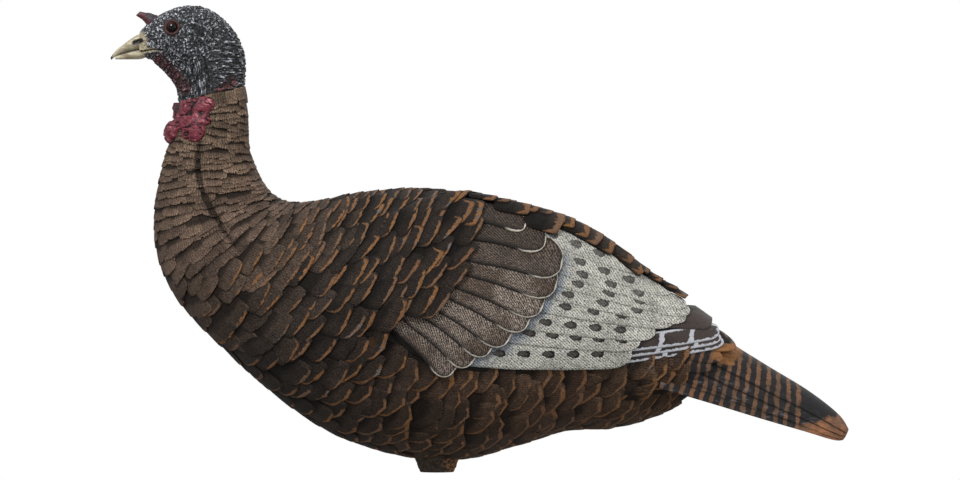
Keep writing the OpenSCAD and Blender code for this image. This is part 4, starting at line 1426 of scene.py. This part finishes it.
# Soft disks of light: [name, place, aim, size, power], in metres and watts
LIGHTS = (
    ("key", (-0.9, -1.6, 1.8), (0, 0, 0.25), 0.7, 34),
    ("fill", (1.5, -1.6, 0.9), (0.1, 0, 0.2), 1.2, 8),
    ("rear", (0.6, 1.8, 1.4), (0, 0, 0.25), 1.2, 14),
)
CAMERA_DISTANCE = 6.0
VIEW_WIDTH = 1.024
VIEW_CENTRE = (0.0459, 0.2474)


def area_light(name, place, aim, size, power):
    """One disk light, which the camera doesn't see."""
    data = bpy.data.lights.new(name, "AREA")
    data.shape = "DISK"
    data.size = size
    data.energy = power
    light = bpy.data.objects.new(name, data)
    light.location = place
    light.rotation_euler = (Vector(aim) - Vector(place)).to_track_quat("-Z", "Y").to_euler()
    light.visible_camera = False
    bpy.context.scene.collection.objects.link(light)


def studio():
    """Soft light: white surroundings, which shine more from above than from below, and the disk lights."""
    world = bpy.data.worlds.new("studio")
    world.use_nodes = True
    tree = world.node_tree
    background = tree.nodes["Background"]
    background.inputs["Color"].default_value = (1, 1, 1, 1)
    direction = tree.nodes.new("ShaderNodeTexCoord")
    split = tree.nodes.new("ShaderNodeSeparateXYZ")
    sky = tree.nodes.new("ShaderNodeMapRange")
    sky.inputs["From Min"].default_value = -1.0
    sky.inputs["To Min"].default_value = GROUND_LIGHT
    sky.inputs["To Max"].default_value = SKY_LIGHT
    seen = tree.nodes.new("ShaderNodeLightPath")
    strength = tree.nodes.new("ShaderNodeMapRange")
    strength.inputs["To Max"].default_value = 1.0
    tree.links.new(direction.outputs["Generated"], split.inputs[0])
    tree.links.new(split.outputs[2], sky.inputs["Value"])
    tree.links.new(sky.outputs[0], strength.inputs["To Min"])
    tree.links.new(seen.outputs["Is Camera Ray"], strength.inputs["Value"])
    tree.links.new(strength.outputs[0], background.inputs["Strength"])
    bpy.context.scene.world = world
    bpy.context.scene.view_settings.view_transform = "Standard"
    for light in LIGHTS:
        area_light(*light)


def camera():
    """A long lens on the bird's left side."""
    data = bpy.data.cameras.new("camera")
    data.lens = data.sensor_width * CAMERA_DISTANCE / VIEW_WIDTH
    data.clip_end = 200
    cam = bpy.data.objects.new("camera", data)
    cam.location = (VIEW_CENTRE[0], -CAMERA_DISTANCE, VIEW_CENTRE[1])
    cam.rotation_euler = (math.pi / 2, 0, 0)
    bpy.context.scene.collection.objects.link(cam)
    bpy.context.scene.camera = cam


def stock_materials():
    """Materials for the CAD nodes that are shown as they are, by the record's slots."""
    black = stock_material("black_moulding", linear(38, 38, 40), 0.55)
    return {
        "inner_plastic": black,
        "painted_shell": black,
        "bearing_plastic": stock_material("acetal", linear(214, 212, 204), 0.4, 300.0, 0.00005),
        "steel": stock_material("zinc_plate", linear(168, 170, 172), 0.32, 900.0, 0.00005, 1.0),
        "brass": stock_material("brass_sheet", linear(186, 150, 88), 0.3, 900.0, 0.00005, 1.0),
        "black_rubber": stock_material("rubber", linear(22, 22, 23), 0.8, 900.0, 0.0001),
    }


camera()
studio()
stock = stock_materials()
for part in frame["record"]["subparts"]:
    shown = frame["nodes"][part["node"]]
    shown.data.materials.clear()
    shown.data.materials.append(stock.get(part["material_slot"], stock["inner_plastic"]))
dark_paint = stock_material("dark_paint", linear(26, 22, 19), 0.85)
base_skin(dark_paint)
body_feathers(contour_feather_material())
wing_panels(dark_paint)
wing_feathers()
tail_fan(tail_material())
head_skin(skin_material())
eyes(eye_material(), stock_material("lid_skin", linear(58, 28, 27), 0.5, 900.0, 0.0004))
beak(beak_material())
snood(snood_material())
caruncles(flesh_material())
boss(boss_material())
